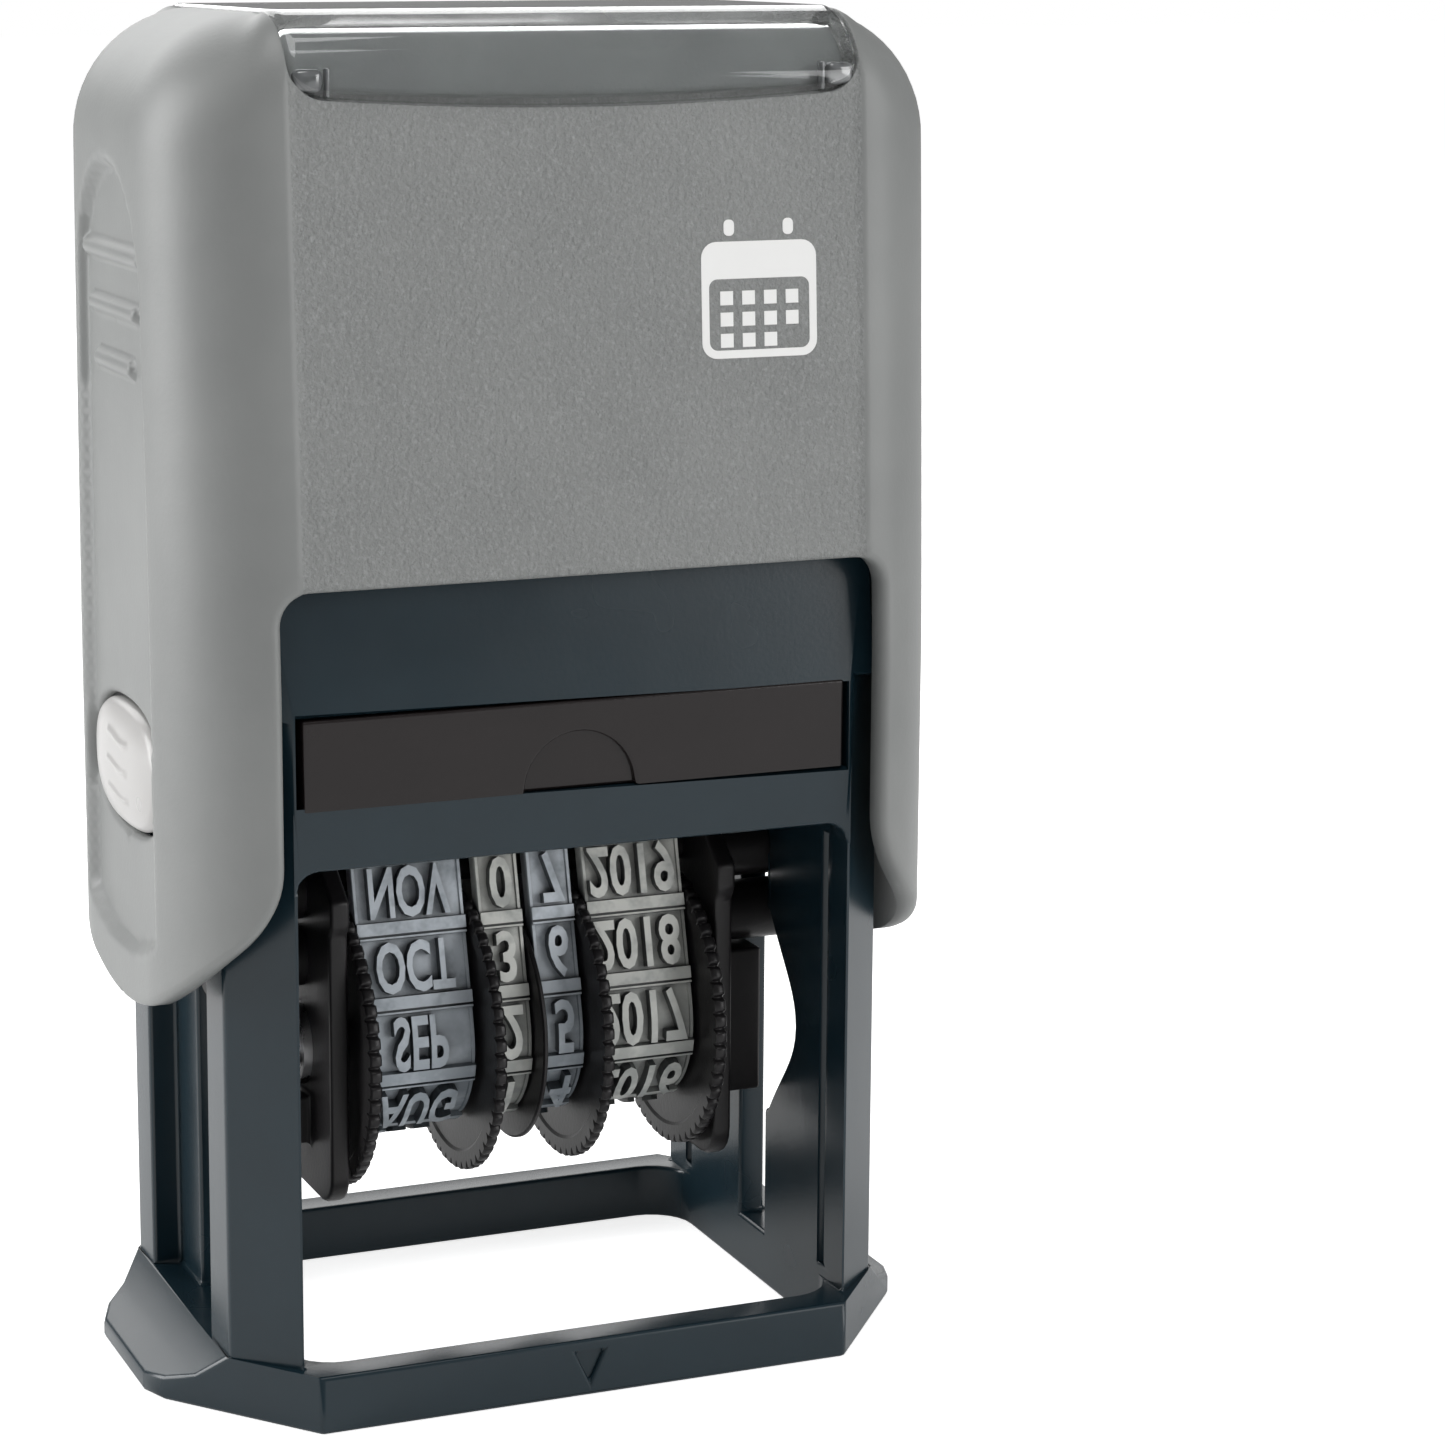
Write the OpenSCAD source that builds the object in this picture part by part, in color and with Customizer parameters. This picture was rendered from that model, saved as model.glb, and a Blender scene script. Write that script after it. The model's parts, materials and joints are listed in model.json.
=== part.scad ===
// Self-inking rotary date stamp, standing on its base with the cover up.
// Origin: centre of the base at its lowest plane. +X is right, -Y is the front, +Z is up.
// At rest the printing row of the date bands faces up against the ink pad. Pressing the
// cover lowers the axle, and the cam slots turn the band carriage over onto the paper.

/* [Stroke] */
// Travel of the cover from rest to the paper
stroke = 22.4; // [22.2:0.1:22.5]
// Distance from the carriage axle to the printing face
face_reach = 8.6; // [8.5:0.05:8.7]
// Height of the raised characters on the bands
relief = 0.75; // [0.7:0.05:0.8]

/* [Base] */
// Height of the base ring
base_h = 3.8; // [3.6:0.1:3.9]
// Half of the straight front edge of the base ring
base_front_hw = 18; // [17:0.5:18.5]
// Half depth of the base ring
base_hd = 16.4; // [16:0.1:17]
// Half width of the base ring at its sides
base_hw = 26.5; // [26.2:0.1:27]
// Thickness of the front and back bars of the base ring
base_bar = 2.5; // [2:0.1:2.7]
// Height of the outer rim at the sides of the base
rim_h = 1.3; // [1:0.1:1.5]

/* [Frame] */
// Half width between the inner faces of the side walls
wall_in = 18.6; // [18.5:0.1:18.7]
// Thickness of the side walls
wall_t = 1.9; // [1.8:0.05:1.9]
// Half depth over the columns and the upper panel
frame_hd = 14.57; // [14.4:0.01:14.6]
// Half width over the columns
column_hw = 22.4; // [22:0.1:22.6]
// Half width of the channel between the columns on each side
channel_hy = 7.15; // [7.1:0.05:7.2]
// Underside of the front and back cross bars
bar_low = 35.7; // [35:0.1:36]
// Top of the cross bars, on which the pad drawer slides
bar_top = 39.5; // [39.4:0.1:39.5]
// Top of the frame
frame_top = 61.8; // [60:0.1:61.8]

/* [Pad drawer] */
// Top of the pad drawer
drawer_top = 45.25; // [45:0.05:45.3]
// Half width of the pad drawer
drawer_hw = 18.2; // [18:0.05:18.4]
// Wall of the tray around the pad
tray_wall = 2; // [1.5:0.1:2.5]

/* [Cover] */
// Height of the whole stamp at rest
total_h = 88; // [88:0.1:88.5]
// Half width of the cover
cover_hw = 26.06; // [26:0.02:26.2]
// Half depth of the cover below the panel edge
cover_hd = 17; // [17:0.05:17.2]
// Half depth of the cover just below the index window
cover_top_hd = 15.1; // [15:0.05:15.3]
// Lower edge of the front and back panels
panel_low = 53.4; // [53:0.1:54]
// Half width of the cut-out under the panels
cutout_hw = 20.1; // [20:0.1:20.3]
// Lowest point of the side lobes
lobe_low = 25; // [25:0.1:25.5]
// Radius of the curved lower edge of the side lobes
lobe_r = 21.67; // [21:0.01:22]
// Radius of the top side corners
shoulder_r = 8; // [7:0.5:9]
// Radius of the top front and back edges
brow_r = 5; // [4.5:0.25:5]
// Wall of the front and back panels
panel_t = 1.3; // [1.2:0.05:1.35]
// Wall of the sides
side_t = 1.8; // [1.6:0.1:1.9]
// Thickness of the top under the index window
roof_t = 3; // [2.9:0.1:3]

/* [Side details] */
// Half width of the finger recess
recess_hy = 8; // [7:0.5:9]
// Depth of the finger recess
recess_depth = 0.7; // [0.5:0.1:0.8]
// Top of the finger recess
recess_top = 78.5; // [77:0.5:79]
// Height of the middle of the lock button
button_z = 40.2; // [40:0.1:41]
// Length of the lock button, front to back
button_len = 15; // [14:0.5:15]
// Height of the lock button
button_h = 8; // [7:0.5:8]

/* [Index window] */
// Half width of the index window
window_hw = 18.5; // [18:0.1:18.6]
// Lower edge of the index window
window_low = 83; // [82.5:0.1:83.5]
// Thickness of the index window
window_t = 1.2; // [1:0.1:1.3]
// Thickness of the index card
card_t = 0.3; // [0.2:0.05:0.3]

/* [Carriage] */
// Height of the wheel shaft above the table
shaft_z = 20.6; // [20.5:0.1:20.8]
// Radius of the thumb wheels
disc_r = 9.7; // [9.5:0.1:9.8]
// Radius of the band drums
drum_r = 4.88; // [4.8:0.02:4.88]
// Thickness of the rubber bands without characters
band_t = 0.9; // [0.8:0.05:0.9]
// Half depth of the carriage side plates
plate_hy = 6.5; // [6:0.1:6.6]
// Inner faces of the carriage side plates
plate_in = 12.8; // [12.7:0.05:12.9]
// Thickness of the carriage side plates
plate_t = 1.3; // [1.2:0.1:1.4]
// Radius of the axle journals and of the cam pins
pin_r = 2.05; // [2:0.01:2.08]
// Distance of the cam pins from the axle
cam_e = 4.5; // [4.4:0.05:4.6]
// Radius of the wheel shaft
shaft_r = 1.5; // [1.4:0.05:1.6]

/* [Hidden] */

$fn = 64;
slide_gap = 0.1;
turn_gap = 0.05;
axle_z = stroke + face_reach;
pad_z = axle_z + face_reach;
band_top = pad_z - relief;
wall_out = wall_in + wall_t;
plate_out = plate_in + plate_t;
slot_hw = pin_r + slide_gap;
arm_in = wall_out + slide_gap;
arm_t = 1.6;
arm_out = arm_in + arm_t;
arm_hy = channel_hy - 0.15;
cavity_hw = cover_hw - side_t;
cavity_top = total_h - roof_t;
deck_z = 47.5;
spring_x = 11;
spring_r = 2.9;
wire_r = 0.35;
spring_turns = 11;
well_r = 4;
window_seat = window_t + card_t;
window_gap = 0.1;
cutout_r = 2;
drawer_low = bar_top + 0.05;
drawer_back = frame_hd - 0.3;
tray_roof = drawer_low + 4.2;
// Overlap that makes neighbouring shapes of one node a single solid
fuse = 0.2;
// Half width of the flat front of a column, before its bevel
column_flat_hw = wall_in + 0.15;
// Upper part of the frame: it leans in at a knee and again at the top
knee_z = 55.5;
knee_hd = 13.3;
crown_hd = 11.6;
crown_wall = 1.6;
// Corner of the cover in plan, along X and along Y
corner_rx = 7.36;
corner_ry = 10.5;
// Blade of the platen and the edge that a band turns over
blade_hy = 0.75;
edge_r = 1;
edge_y = blade_hy + band_t - edge_r;
clip_t = 0.6;
shaft_end = 1.2;
tie_z = 31.5;
tie_r = 1;
// Where each band and each thumb wheel begins and ends along the shaft
month_x = [-11.5, -4];
tens_x = [-3, -0.05];
units_x = [0.6, 3.6];
year_x = [4.5, 11.5];
month_disc = [-12.4, -11.6];
tens_disc = [-3.8, -3.1];
units_disc = [3.7, 4.4];
year_disc = [11.6, 12.4];
ivory = "#9da19a";
card_grey = "#8f9191";
felt = "#2b2a33";
clear = "#c9ced2";
blue = "#22323d";
grey = "#84888a";
black = "#1c1b1c";
rubber = "#8d98a2";
pale = "#dcdcda";
metal = "#a9abad";

// ---------------------------------------------------------------- helpers

// Points of an arc of radius rx, ry about (cx, cy) from angle a0 to a1
function arc(cx, cy, rx, ry, a0, a1, n = 10) =
  [for (i = [0:n]) let (a = a0 + (a1 - a0) * i / n) [cx + rx * cos(a), cy + ry * sin(a)]];

// An outline followed by its own mirror image, so that it closes left to right
function mirrored(half) =
  concat(half, [for (i = [len(half) - 1:-1:0]) [-half[i][0], half[i][1]]]);

// The same outline in all four quadrants, from its points in the first one
function four_way(q) = concat(
  q,
  [for (i = [len(q) - 1:-1:0]) [-q[i][0], q[i][1]]],
  [for (p = q) [-p[0], -p[1]]],
  [for (i = [len(q) - 1:-1:0]) [q[i][0], -q[i][1]]]
);

// A flat outline in Y and Z, given thickness along X from x0 to x1
module along_x(x0, x1) {
  translate([x0, 0, 0]) rotate([90, 0, 90]) linear_extrude(x1 - x0) children();
}

// A flat outline in X and Z, given thickness along Y from y0 to y1
module along_y(y0, y1) {
  translate([0, y1, 0]) rotate([90, 0, 0]) linear_extrude(y1 - y0) children();
}

// A round bar along X
module rod(x0, x1, r, z, y = 0) {
  translate([x0, y, z]) rotate([0, 90, 0]) cylinder(h = x1 - x0, r = r);
}

// A box from its low corner to its high corner
module block(low, high) {
  translate(low) cube(high - low);
}

// A box and its mirror image on the other side of the YZ plane
module both_sides() {
  children();
  mirror([1, 0, 0]) children();
}

// A part and its mirror image on the other side of the XZ plane
module front_and_back() {
  children();
  mirror([0, 1, 0]) children();
}

// ---------------------------------------------------------------- frame

// Half width and half depth points of the base ring, first quadrant
base_quadrant = concat(
  [[base_hw, 0], [base_hw, 5]],
  [[base_hw - 0.8, 7.1], [base_front_hw, base_hd]]
);

// Path of a cam pin, from rest at u = 0 to the paper at u = 1
function pin_y(u) = -cam_e * sin(180 * u);
function pin_z(u) = axle_z - stroke * u - cam_e * cos(180 * u);
// Direction of that path per unit of u
function pin_dy(u) = -cam_e * PI * cos(180 * u);
function pin_dz(u) = -stroke + cam_e * PI * sin(180 * u);
// The path moved outwards by the width of the cam groove
function groove_edge(u) =
  let (l = norm([pin_dy(u), pin_dz(u)]))
  [pin_y(u) + slot_hw * pin_dz(u) / l, pin_z(u) - slot_hw * pin_dy(u) / l];

module cam_slot() {
  steps = 24;
  edge = [for (i = [0:steps]) groove_edge(i / steps)];
  lobe = [for (p = edge) if (p[0] < -slot_hw + 0.01) p];
  union() {
    translate([-slot_hw, -1]) square([2 * slot_hw, axle_z + 1]);
    translate([0, axle_z]) circle(r = slot_hw);
    polygon(concat([[0, lobe[0][1]]], lobe, [[0, lobe[len(lobe) - 1][1]]]));
  }
}

module base_ring() {
  corner = 3;
  inner_hd = base_hd - base_bar;
  scoop_hy = 11.4;
  arrow_hw = 1;
  arrow_top = base_h - 0.8;
  opening = four_way(concat(
    [[wall_in, 0]],
    arc(wall_in - corner, inner_hd - corner, corner, corner, 0, 90, 6),
    [[0, inner_hd]]
  ));
  difference() {
    linear_extrude(base_h) difference() {
      polygon(four_way(base_quadrant));
      polygon(opening);
    }
    // the sides of the foot fall away to a thin rim
    both_sides() along_y(-scoop_hy, scoop_hy) polygon([
      [column_hw + 0.2, base_h], [column_hw + 1.7, 2.2], [base_hw, rim_h],
      [base_hw + 1, rim_h], [base_hw + 1, base_h + 1], [column_hw + 0.2, base_h + 1]
    ]);
    // arrow that marks the middle of the imprint
    along_y(-base_hd - 1, -base_hd + 0.4) polygon([
      [-arrow_hw, arrow_top], [arrow_hw, arrow_top], [0, arrow_top - 2.1]
    ]);
  }
}

module column() {
  bevel = column_hw - column_flat_hw;
  linear_extrude(drawer_top + fuse / 2) polygon([
    [wall_in, -frame_hd], [column_flat_hw, -frame_hd], [column_hw, -frame_hd + bevel],
    [column_hw, -channel_hy], [wall_out, -channel_hy], [wall_in, -channel_hy]
  ]);
}

module side_wall() {
  difference() {
    block([wall_in, -channel_hy - 1, 0], [wall_out, channel_hy + 1, frame_top]);
    along_x(wall_in - 1, wall_out + 1) cam_slot();
  }
}

module upper_frame() {
  roof = drawer_top + fuse / 2;
  well_h = 7;
  lean = [
    [frame_hd, roof], [knee_hd, knee_z], [crown_hd, frame_top]
  ];
  inner = [
    [crown_hd, deck_z], [crown_hd, knee_z], [crown_hd - crown_wall, frame_top + 1]
  ];
  difference() {
    along_x(-wall_out, wall_out) polygon(mirrored(lean));
    along_x(-wall_in, wall_in) polygon(mirrored(inner));
  }
  both_sides() difference() {
    translate([spring_x, 0, deck_z - fuse]) cylinder(h = well_h + fuse, r = well_r + 1.2);
    translate([spring_x, 0, deck_z]) cylinder(h = well_h + 1, r = well_r);
  }
}

module cross_bars() {
  bar_t = 2;
  ledge = 1.6;
  fillet = 1.4;
  front_and_back() {
    block([-wall_in - fuse, -frame_hd, bar_low], [wall_in + fuse, -frame_hd + bar_t, bar_top]);
    // rounded upper corners of the window under the bar
    both_sides() along_y(-frame_hd, -frame_hd + bar_t) polygon(concat(
      [[wall_in + fuse, bar_low - fillet], [wall_in + fuse, bar_low + fuse]],
      [[wall_in - fillet, bar_low + fuse]],
      arc(wall_in - fillet, bar_low - fillet, fillet, fillet, 90, 0, 6)
    ));
  }
  // ledges that the pad drawer slides on
  both_sides() block(
    [wall_in - ledge, -frame_hd + 1, bar_top - ledge],
    [wall_in + fuse, frame_hd - 1, bar_top]
  );
}

module frame() {
  groove_r = 0.55;
  groove_y = 11.2;
  groove_low = 4.6;
  color(blue) difference() {
    union() {
      base_ring();
      both_sides() {
        front_and_back() column();
        side_wall();
      }
      cross_bars();
      upper_frame();
    }
    // shallow grooves up the inner faces of the columns
    both_sides() front_and_back() translate([wall_in, -groove_y, groove_low])
      cylinder(h = bar_low - groove_low - 1.4, r = groove_r);
  }
}

// ---------------------------------------------------------------- ink pad

module pad_drawer() {
  thumb_r = 3.7;
  thumb_depth = 0.35;
  color(black) difference() {
    block([-drawer_hw, -frame_hd - 0.05, drawer_low], [drawer_hw, drawer_back, drawer_top]);
    block(
      [-drawer_hw + tray_wall, -frame_hd + tray_wall, drawer_low - 1],
      [drawer_hw - tray_wall, drawer_back - tray_wall, tray_roof]
    );
    // half-moon for the thumb
    along_y(-frame_hd - 1, -frame_hd + thumb_depth) translate([0, drawer_low]) circle(r = thumb_r);
  }
}

module ink_pad() {
  color(felt) block(
    [-drawer_hw + tray_wall, -frame_hd + tray_wall, pad_z + 0.05],
    [drawer_hw - tray_wall, drawer_back - tray_wall, tray_roof]
  );
}

// ---------------------------------------------------------------- cover

// Half depth of the outside of the cover at height z
function cover_y(z) =
  cover_hd - (cover_hd - cover_top_hd) * max(0, z - panel_low) / (total_h - brow_r - panel_low);

// Corner of the cover in plan: an arc that is longer along Y than along X
function plan_corner(inset_x, inset_y) =
  arc(cover_hw - corner_rx, cover_hd - corner_ry, corner_rx - inset_x, corner_ry - inset_y, 0, 90, 10);

// Outline of the cover from the side, moved in by d, without its lower end
function brow(d) =
  let (z = total_h - brow_r)
  concat([[cover_hd - d, panel_low]], arc(cover_y(z) - brow_r, z, brow_r - d, brow_r - d, 0, 90, 8));

module cover_side_view() {
  centre = lobe_low + lobe_r;
  reach = acos(cover_hd / lobe_r);
  polygon(concat(
    mirrored(brow(0)),
    arc(0, centre, lobe_r, lobe_r, 180 + reach, 360 - reach, 20)
  ));
}

module cover_front_view() {
  r = shoulder_r;
  shell_top = total_h - 0.4;
  polygon(mirrored(concat([[cover_hw, 0]], arc(cover_hw - r, shell_top - r, r, r, 0, 90, 10))));
}

module cover_cavity() {
  knee = 79;
  knee_r = 6;
  roof_hd = 12;
  intersection() {
    linear_extrude(cavity_top) polygon(four_way(plan_corner(side_t, panel_t)));
    along_x(-cavity_hw, cavity_hw) polygon(mirrored([
      [cover_hd - panel_t, -1], [cover_hd - panel_t, panel_low],
      [cover_y(knee) - panel_t, knee], [roof_hd, cavity_top]
    ]));
    along_y(-cover_hd, cover_hd) polygon(mirrored(concat(
      [[cavity_hw, -1]], arc(cavity_hw - knee_r, cavity_top - knee_r, knee_r, knee_r, 0, 90, 6)
    )));
  }
}

// Space for the index window and its card, over the top of the cover
module window_zone(outer, inner, half_w, low) {
  intersection() {
    along_x(-half_w, half_w) difference() {
      polygon(mirrored(brow(outer)));
      polygon(mirrored(brow(inner)));
    }
    block([-half_w, -cover_hd - 2, low], [half_w, cover_hd + 2, total_h + 2]);
  }
}

module button_hole(grow) {
  r = button_h / 2 + grow;
  half = (button_len - button_h) / 2;
  translate([-half, button_z]) circle(r = r);
  translate([half, button_z]) circle(r = r);
  translate([-half, button_z - r]) square([2 * half, 2 * r]);
}

module finger_recess() {
  low = 28;
  along_x(cover_hw - recess_depth, cover_hw + 1) union() {
    translate([0, recess_top - recess_hy]) circle(r = recess_hy);
    translate([-recess_hy, low]) square([2 * recess_hy, recess_top - recess_hy - low]);
  }
}

module grip_ribs() {
  rib_h = 0.8;
  longest = 7.4;
  highest = 72.8;
  for (i = [0:2]) {
    half = longest - 1.3 * i;
    z = highest - 3.45 * i;
    block(
      [cover_hw - recess_depth, -half, z - rib_h / 2],
      [cover_hw - 0.1, half, z + rib_h / 2]
    );
  }
}

module cover() {
  color(grey) union() {
    difference() {
      intersection() {
        linear_extrude(total_h) polygon(four_way(plan_corner(0, 0)));
        along_x(-cover_hw, cover_hw) cover_side_view();
        along_y(-cover_hd, cover_hd) cover_front_view();
      }
      cover_cavity();
      along_y(-cover_hd - 1, cover_hd + 1) polygon(mirrored(concat(
        [[cutout_hw, 0]], arc(cutout_hw - cutout_r, panel_low - cutout_r, cutout_r, cutout_r, 0, 90, 5)
      )));
      window_zone(-1, window_seat, window_hw + window_gap, window_low - window_gap);
      both_sides() {
        finger_recess();
        along_x(cavity_hw - 1, cover_hw + 1) button_hole(2 * slide_gap);
      }
    }
    both_sides() grip_ribs();
  }
}

module yoke() {
  eye_r = 3.6;
  arm_top = 78;
  shelf_hy = 5;
  shelf_low = 48;
  color(grey) difference() {
    union() {
      along_x(arm_in, arm_out) union() {
        translate([0, axle_z]) circle(r = eye_r);
        translate([-eye_r, axle_z]) square([2 * eye_r, 6]);
        translate([-arm_hy, axle_z + 4]) square([2 * arm_hy, arm_top - axle_z - 4]);
      }
      block([arm_out - fuse / 2, -shelf_hy, shelf_low], [cavity_hw, shelf_hy, arm_top - 2]);
    }
    rod(arm_in - 1, arm_out + 1, pin_r + turn_gap, axle_z);
  }
}

module yoke_left() { mirror([1, 0, 0]) yoke(); }
module yoke_right() { yoke(); }

module spring_guide(x) {
  low = 74;
  post_r = 1.9;
  color(grey) translate([x, 0, low]) cylinder(h = cavity_top - low, r = post_r);
}

module spring_guide_left() { spring_guide(-spring_x); }
module spring_guide_right() { spring_guide(spring_x); }

// Height of the wire's centre, in turns t from the lower end; the end turns lie closed
function coil_z(t) =
  let (closed = 2 * wire_r + 0.02, n = spring_turns, low = deck_z + wire_r, high = cavity_top - wire_r)
  t < 1 ? low + closed * t
  : t > n - 1 ? high - closed * (n - t)
  : low + closed + (high - low - 2 * closed) * (t - 1) / (n - 2);

module return_spring(x) {
  sides = 6;
  per_turn = 14;
  rings = spring_turns * per_turn;
  points = [
    for (i = [0:rings]) for (j = [0:sides - 1])
      let (a = 360 * i / per_turn, b = 360 * j / sides, r = spring_r + wire_r * cos(b))
      [r * cos(a), r * sin(a), coil_z(i / per_turn) + wire_r * sin(b)]
  ];
  walls = [
    for (i = [0:rings - 1]) for (j = [0:sides - 1])
      let (k = (j + 1) % sides, p = i * sides, q = p + sides)
      each [[p + j, q + j, q + k], [p + j, q + k, p + k]]
  ];
  ends = [
    [for (j = [0:sides - 1]) j],
    [for (j = [sides - 1:-1:0]) rings * sides + j]
  ];
  color(metal) translate([x, 0, 0]) polyhedron(points, concat(walls, ends), convexity = 10);
}

module return_spring_left() { return_spring(-spring_x); }
module return_spring_right() { return_spring(spring_x); }

module index_card() {
  color(card_grey) window_zone(window_t, window_seat, window_hw, window_low);
}

module index_window() {
  color(clear, 0.5) window_zone(0, window_t, window_hw, window_low);
}

module lock_button() {
  dome = 0.55;
  head = cover_hw - recess_depth + dome;
  root = cavity_hw - 0.75;
  lip = 0.8;
  color(pale) union() {
    along_x(root, head) button_hole(0);
    along_x(root, root + 0.5) button_hole(lip);
  }
}

module lock_button_left() { mirror([1, 0, 0]) lock_button(); }
module lock_button_right() { lock_button(); }

// ---------------------------------------------------------------- carriage

module carriage_plate() {
  low = 11;
  corner = 2.2;
  cheek_hy = plate_hy + 0.5;
  neck_hy = 4;
  tip_hy = 1.9;
  rail_hy = 2.1;
  rail_low = 14.2;
  foot_top = 17.4;
  rail_top = axle_z - cam_e - pin_r - fuse;
  rail_out = wall_in - 0.4;
  color(black) difference() {
    union() {
      along_x(plate_in, plate_out) polygon(mirrored(concat(
        [[0, low]],
        arc(plate_hy - corner, low + corner, corner, corner, -90, 0, 5),
        [[plate_hy, 29.2], [cheek_hy, 30], [cheek_hy, 31.6], [neck_hy, 33.8], [tip_hy, 34.4]],
        [[tip_hy, band_top - band_t]]
      )));
      // rail that keeps the plate centred between the side walls
      block([plate_out - fuse, -rail_hy, rail_low], [rail_out, rail_hy, foot_top]);
      block([plate_out + shaft_end + fuse, -rail_hy, foot_top - fuse], [rail_out, rail_hy, rail_top]);
    }
    rod(plate_in - 1, plate_out + 1, shaft_r, shaft_z);
  }
}

module carriage_plate_left() { mirror([1, 0, 0]) carriage_plate(); }
module carriage_plate_right() { carriage_plate(); }

module axle_journal_left() { color(black) rod(-arm_out, -plate_out, pin_r, axle_z); }
module axle_journal_right() { color(black) rod(plate_out, arm_out, pin_r, axle_z); }

module cam_pin_left() { color(black) rod(slide_gap - wall_out, -plate_out, pin_r, axle_z - cam_e); }
module cam_pin_right() { color(black) rod(plate_out, wall_out - slide_gap, pin_r, axle_z - cam_e); }

module platen() {
  foot_z = 32.6;
  tip = band_top - band_t - 0.05;
  color(black) along_x(-plate_in, plate_in) polygon(mirrored([
    [0, foot_z], [blade_hy + 0.5, foot_z], [blade_hy, tip - 0.3], [blade_hy - 0.3, tip]
  ]));
}

module tie_bar() { color(black) rod(-plate_in, plate_in, tie_r, tie_z); }

module wheel_shaft() { color(metal) rod(-plate_out - shaft_end, plate_out + shaft_end, shaft_r, shaft_z); }

module shaft_clip(x) {
  color(metal) difference() {
    rod(x, x + clip_t, shaft_r + 1.3, shaft_z);
    rod(x - 1, x + 2, shaft_r, shaft_z);
  }
}

module shaft_clip_left() { shaft_clip(-plate_out - clip_t); }
module shaft_clip_right() { shaft_clip(plate_out); }

module divider_disc() {
  divider_r = 8;
  color(black) difference() {
    rod(0.05, 0.4, divider_r, shaft_z);
    rod(-1, 1, shaft_r, shaft_z);
  }
}

// ---------------------------------------------------------------- bands and wheels

// Angle above level at which a belt of outer radius r leaves the drum for the platen edge
function lean_of(r) =
  let (dy = edge_y, dz = band_top - edge_r - shaft_z, d = norm([dy, dz]))
  asin((r - edge_r) / d) - atan2(dy, dz);

// Outline of a belt around the drum and the platen; d is the depth below its outer face
module belt_outline(d) {
  r = drum_r + 0.12 + band_t;
  tilt = lean_of(r);
  polygon(mirrored(concat(
    arc(0, shaft_z, r - d, r - d, -90, tilt, 16),
    arc(edge_y, band_top - edge_r, max(edge_r - d, 0.1), max(edge_r - d, 0.1), tilt, 90, 4)
  )));
}

module band(x, tint) {
  color(tint) along_x(x[0], x[1]) difference() {
    belt_outline(0);
    belt_outline(band_t);
  }
}

module month_band() { band(month_x, rubber); }
module tens_band() { band(tens_x, ivory); }
module units_band() { band(units_x, rubber); }
module year_band() { band(year_x, ivory); }

// A wheel: thumb disc and drum in one, bored for the shaft. The drum is as wide as its
// band and ends inside the disc.
module date_wheel(disc, belt) {
  left = disc[0] < belt[0];
  color(black) difference() {
    union() {
      rod(disc[0], disc[1], disc_r, shaft_z);
      rod(left ? disc[1] - fuse : belt[0], left ? belt[1] : disc[0] + fuse, drum_r, shaft_z);
    }
    rod(min(disc[0], belt[0]) - 1, max(disc[1], belt[1]) + 1, shaft_r + turn_gap, shaft_z);
  }
}

module month_wheel() { date_wheel(month_disc, month_x); }
module tens_wheel() { date_wheel(tens_disc, tens_x); }
module units_wheel() { date_wheel(units_disc, units_x); }
module year_wheel() { date_wheel(year_disc, year_x); }

// ---------------------------------------------------------------- assembly

frame();
pad_drawer();
ink_pad();
cover();
yoke_left();
yoke_right();
spring_guide_left();
spring_guide_right();
return_spring_left();
return_spring_right();
index_card();
index_window();
lock_button_left();
lock_button_right();
carriage_plate_left();
carriage_plate_right();
axle_journal_left();
axle_journal_right();
cam_pin_left();
cam_pin_right();
platen();
tie_bar();
wheel_shaft();
shaft_clip_left();
shaft_clip_right();
divider_disc();
month_band();
tens_band();
units_band();
year_band();
month_wheel();
tens_wheel();
units_wheel();
year_wheel();
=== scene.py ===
import json
import math

import bmesh
import bpy
import numpy as np
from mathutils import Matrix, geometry

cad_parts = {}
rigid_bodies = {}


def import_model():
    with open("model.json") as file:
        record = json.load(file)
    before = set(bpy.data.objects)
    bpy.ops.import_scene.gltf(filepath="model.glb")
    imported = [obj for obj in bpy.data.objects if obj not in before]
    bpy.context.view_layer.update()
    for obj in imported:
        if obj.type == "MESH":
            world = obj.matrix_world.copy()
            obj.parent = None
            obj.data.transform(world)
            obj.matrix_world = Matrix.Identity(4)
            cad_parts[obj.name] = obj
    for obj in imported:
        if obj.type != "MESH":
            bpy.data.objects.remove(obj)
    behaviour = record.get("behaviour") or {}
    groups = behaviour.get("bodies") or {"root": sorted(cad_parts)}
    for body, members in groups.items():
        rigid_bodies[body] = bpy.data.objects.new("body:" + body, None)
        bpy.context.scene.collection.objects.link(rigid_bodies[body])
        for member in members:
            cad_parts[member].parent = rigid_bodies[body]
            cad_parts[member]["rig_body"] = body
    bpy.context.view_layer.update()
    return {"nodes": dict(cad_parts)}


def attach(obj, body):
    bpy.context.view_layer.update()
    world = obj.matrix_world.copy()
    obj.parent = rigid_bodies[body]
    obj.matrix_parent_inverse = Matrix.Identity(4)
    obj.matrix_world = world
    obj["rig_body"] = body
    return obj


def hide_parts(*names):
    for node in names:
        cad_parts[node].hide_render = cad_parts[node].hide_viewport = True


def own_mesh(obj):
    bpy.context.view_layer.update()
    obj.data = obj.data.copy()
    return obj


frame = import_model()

# A self-inking rotary date stamp, seen from the front left and a little above.
# Lengths below are in millimetres unless a name ends in _m.

MM = 0.001

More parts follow.
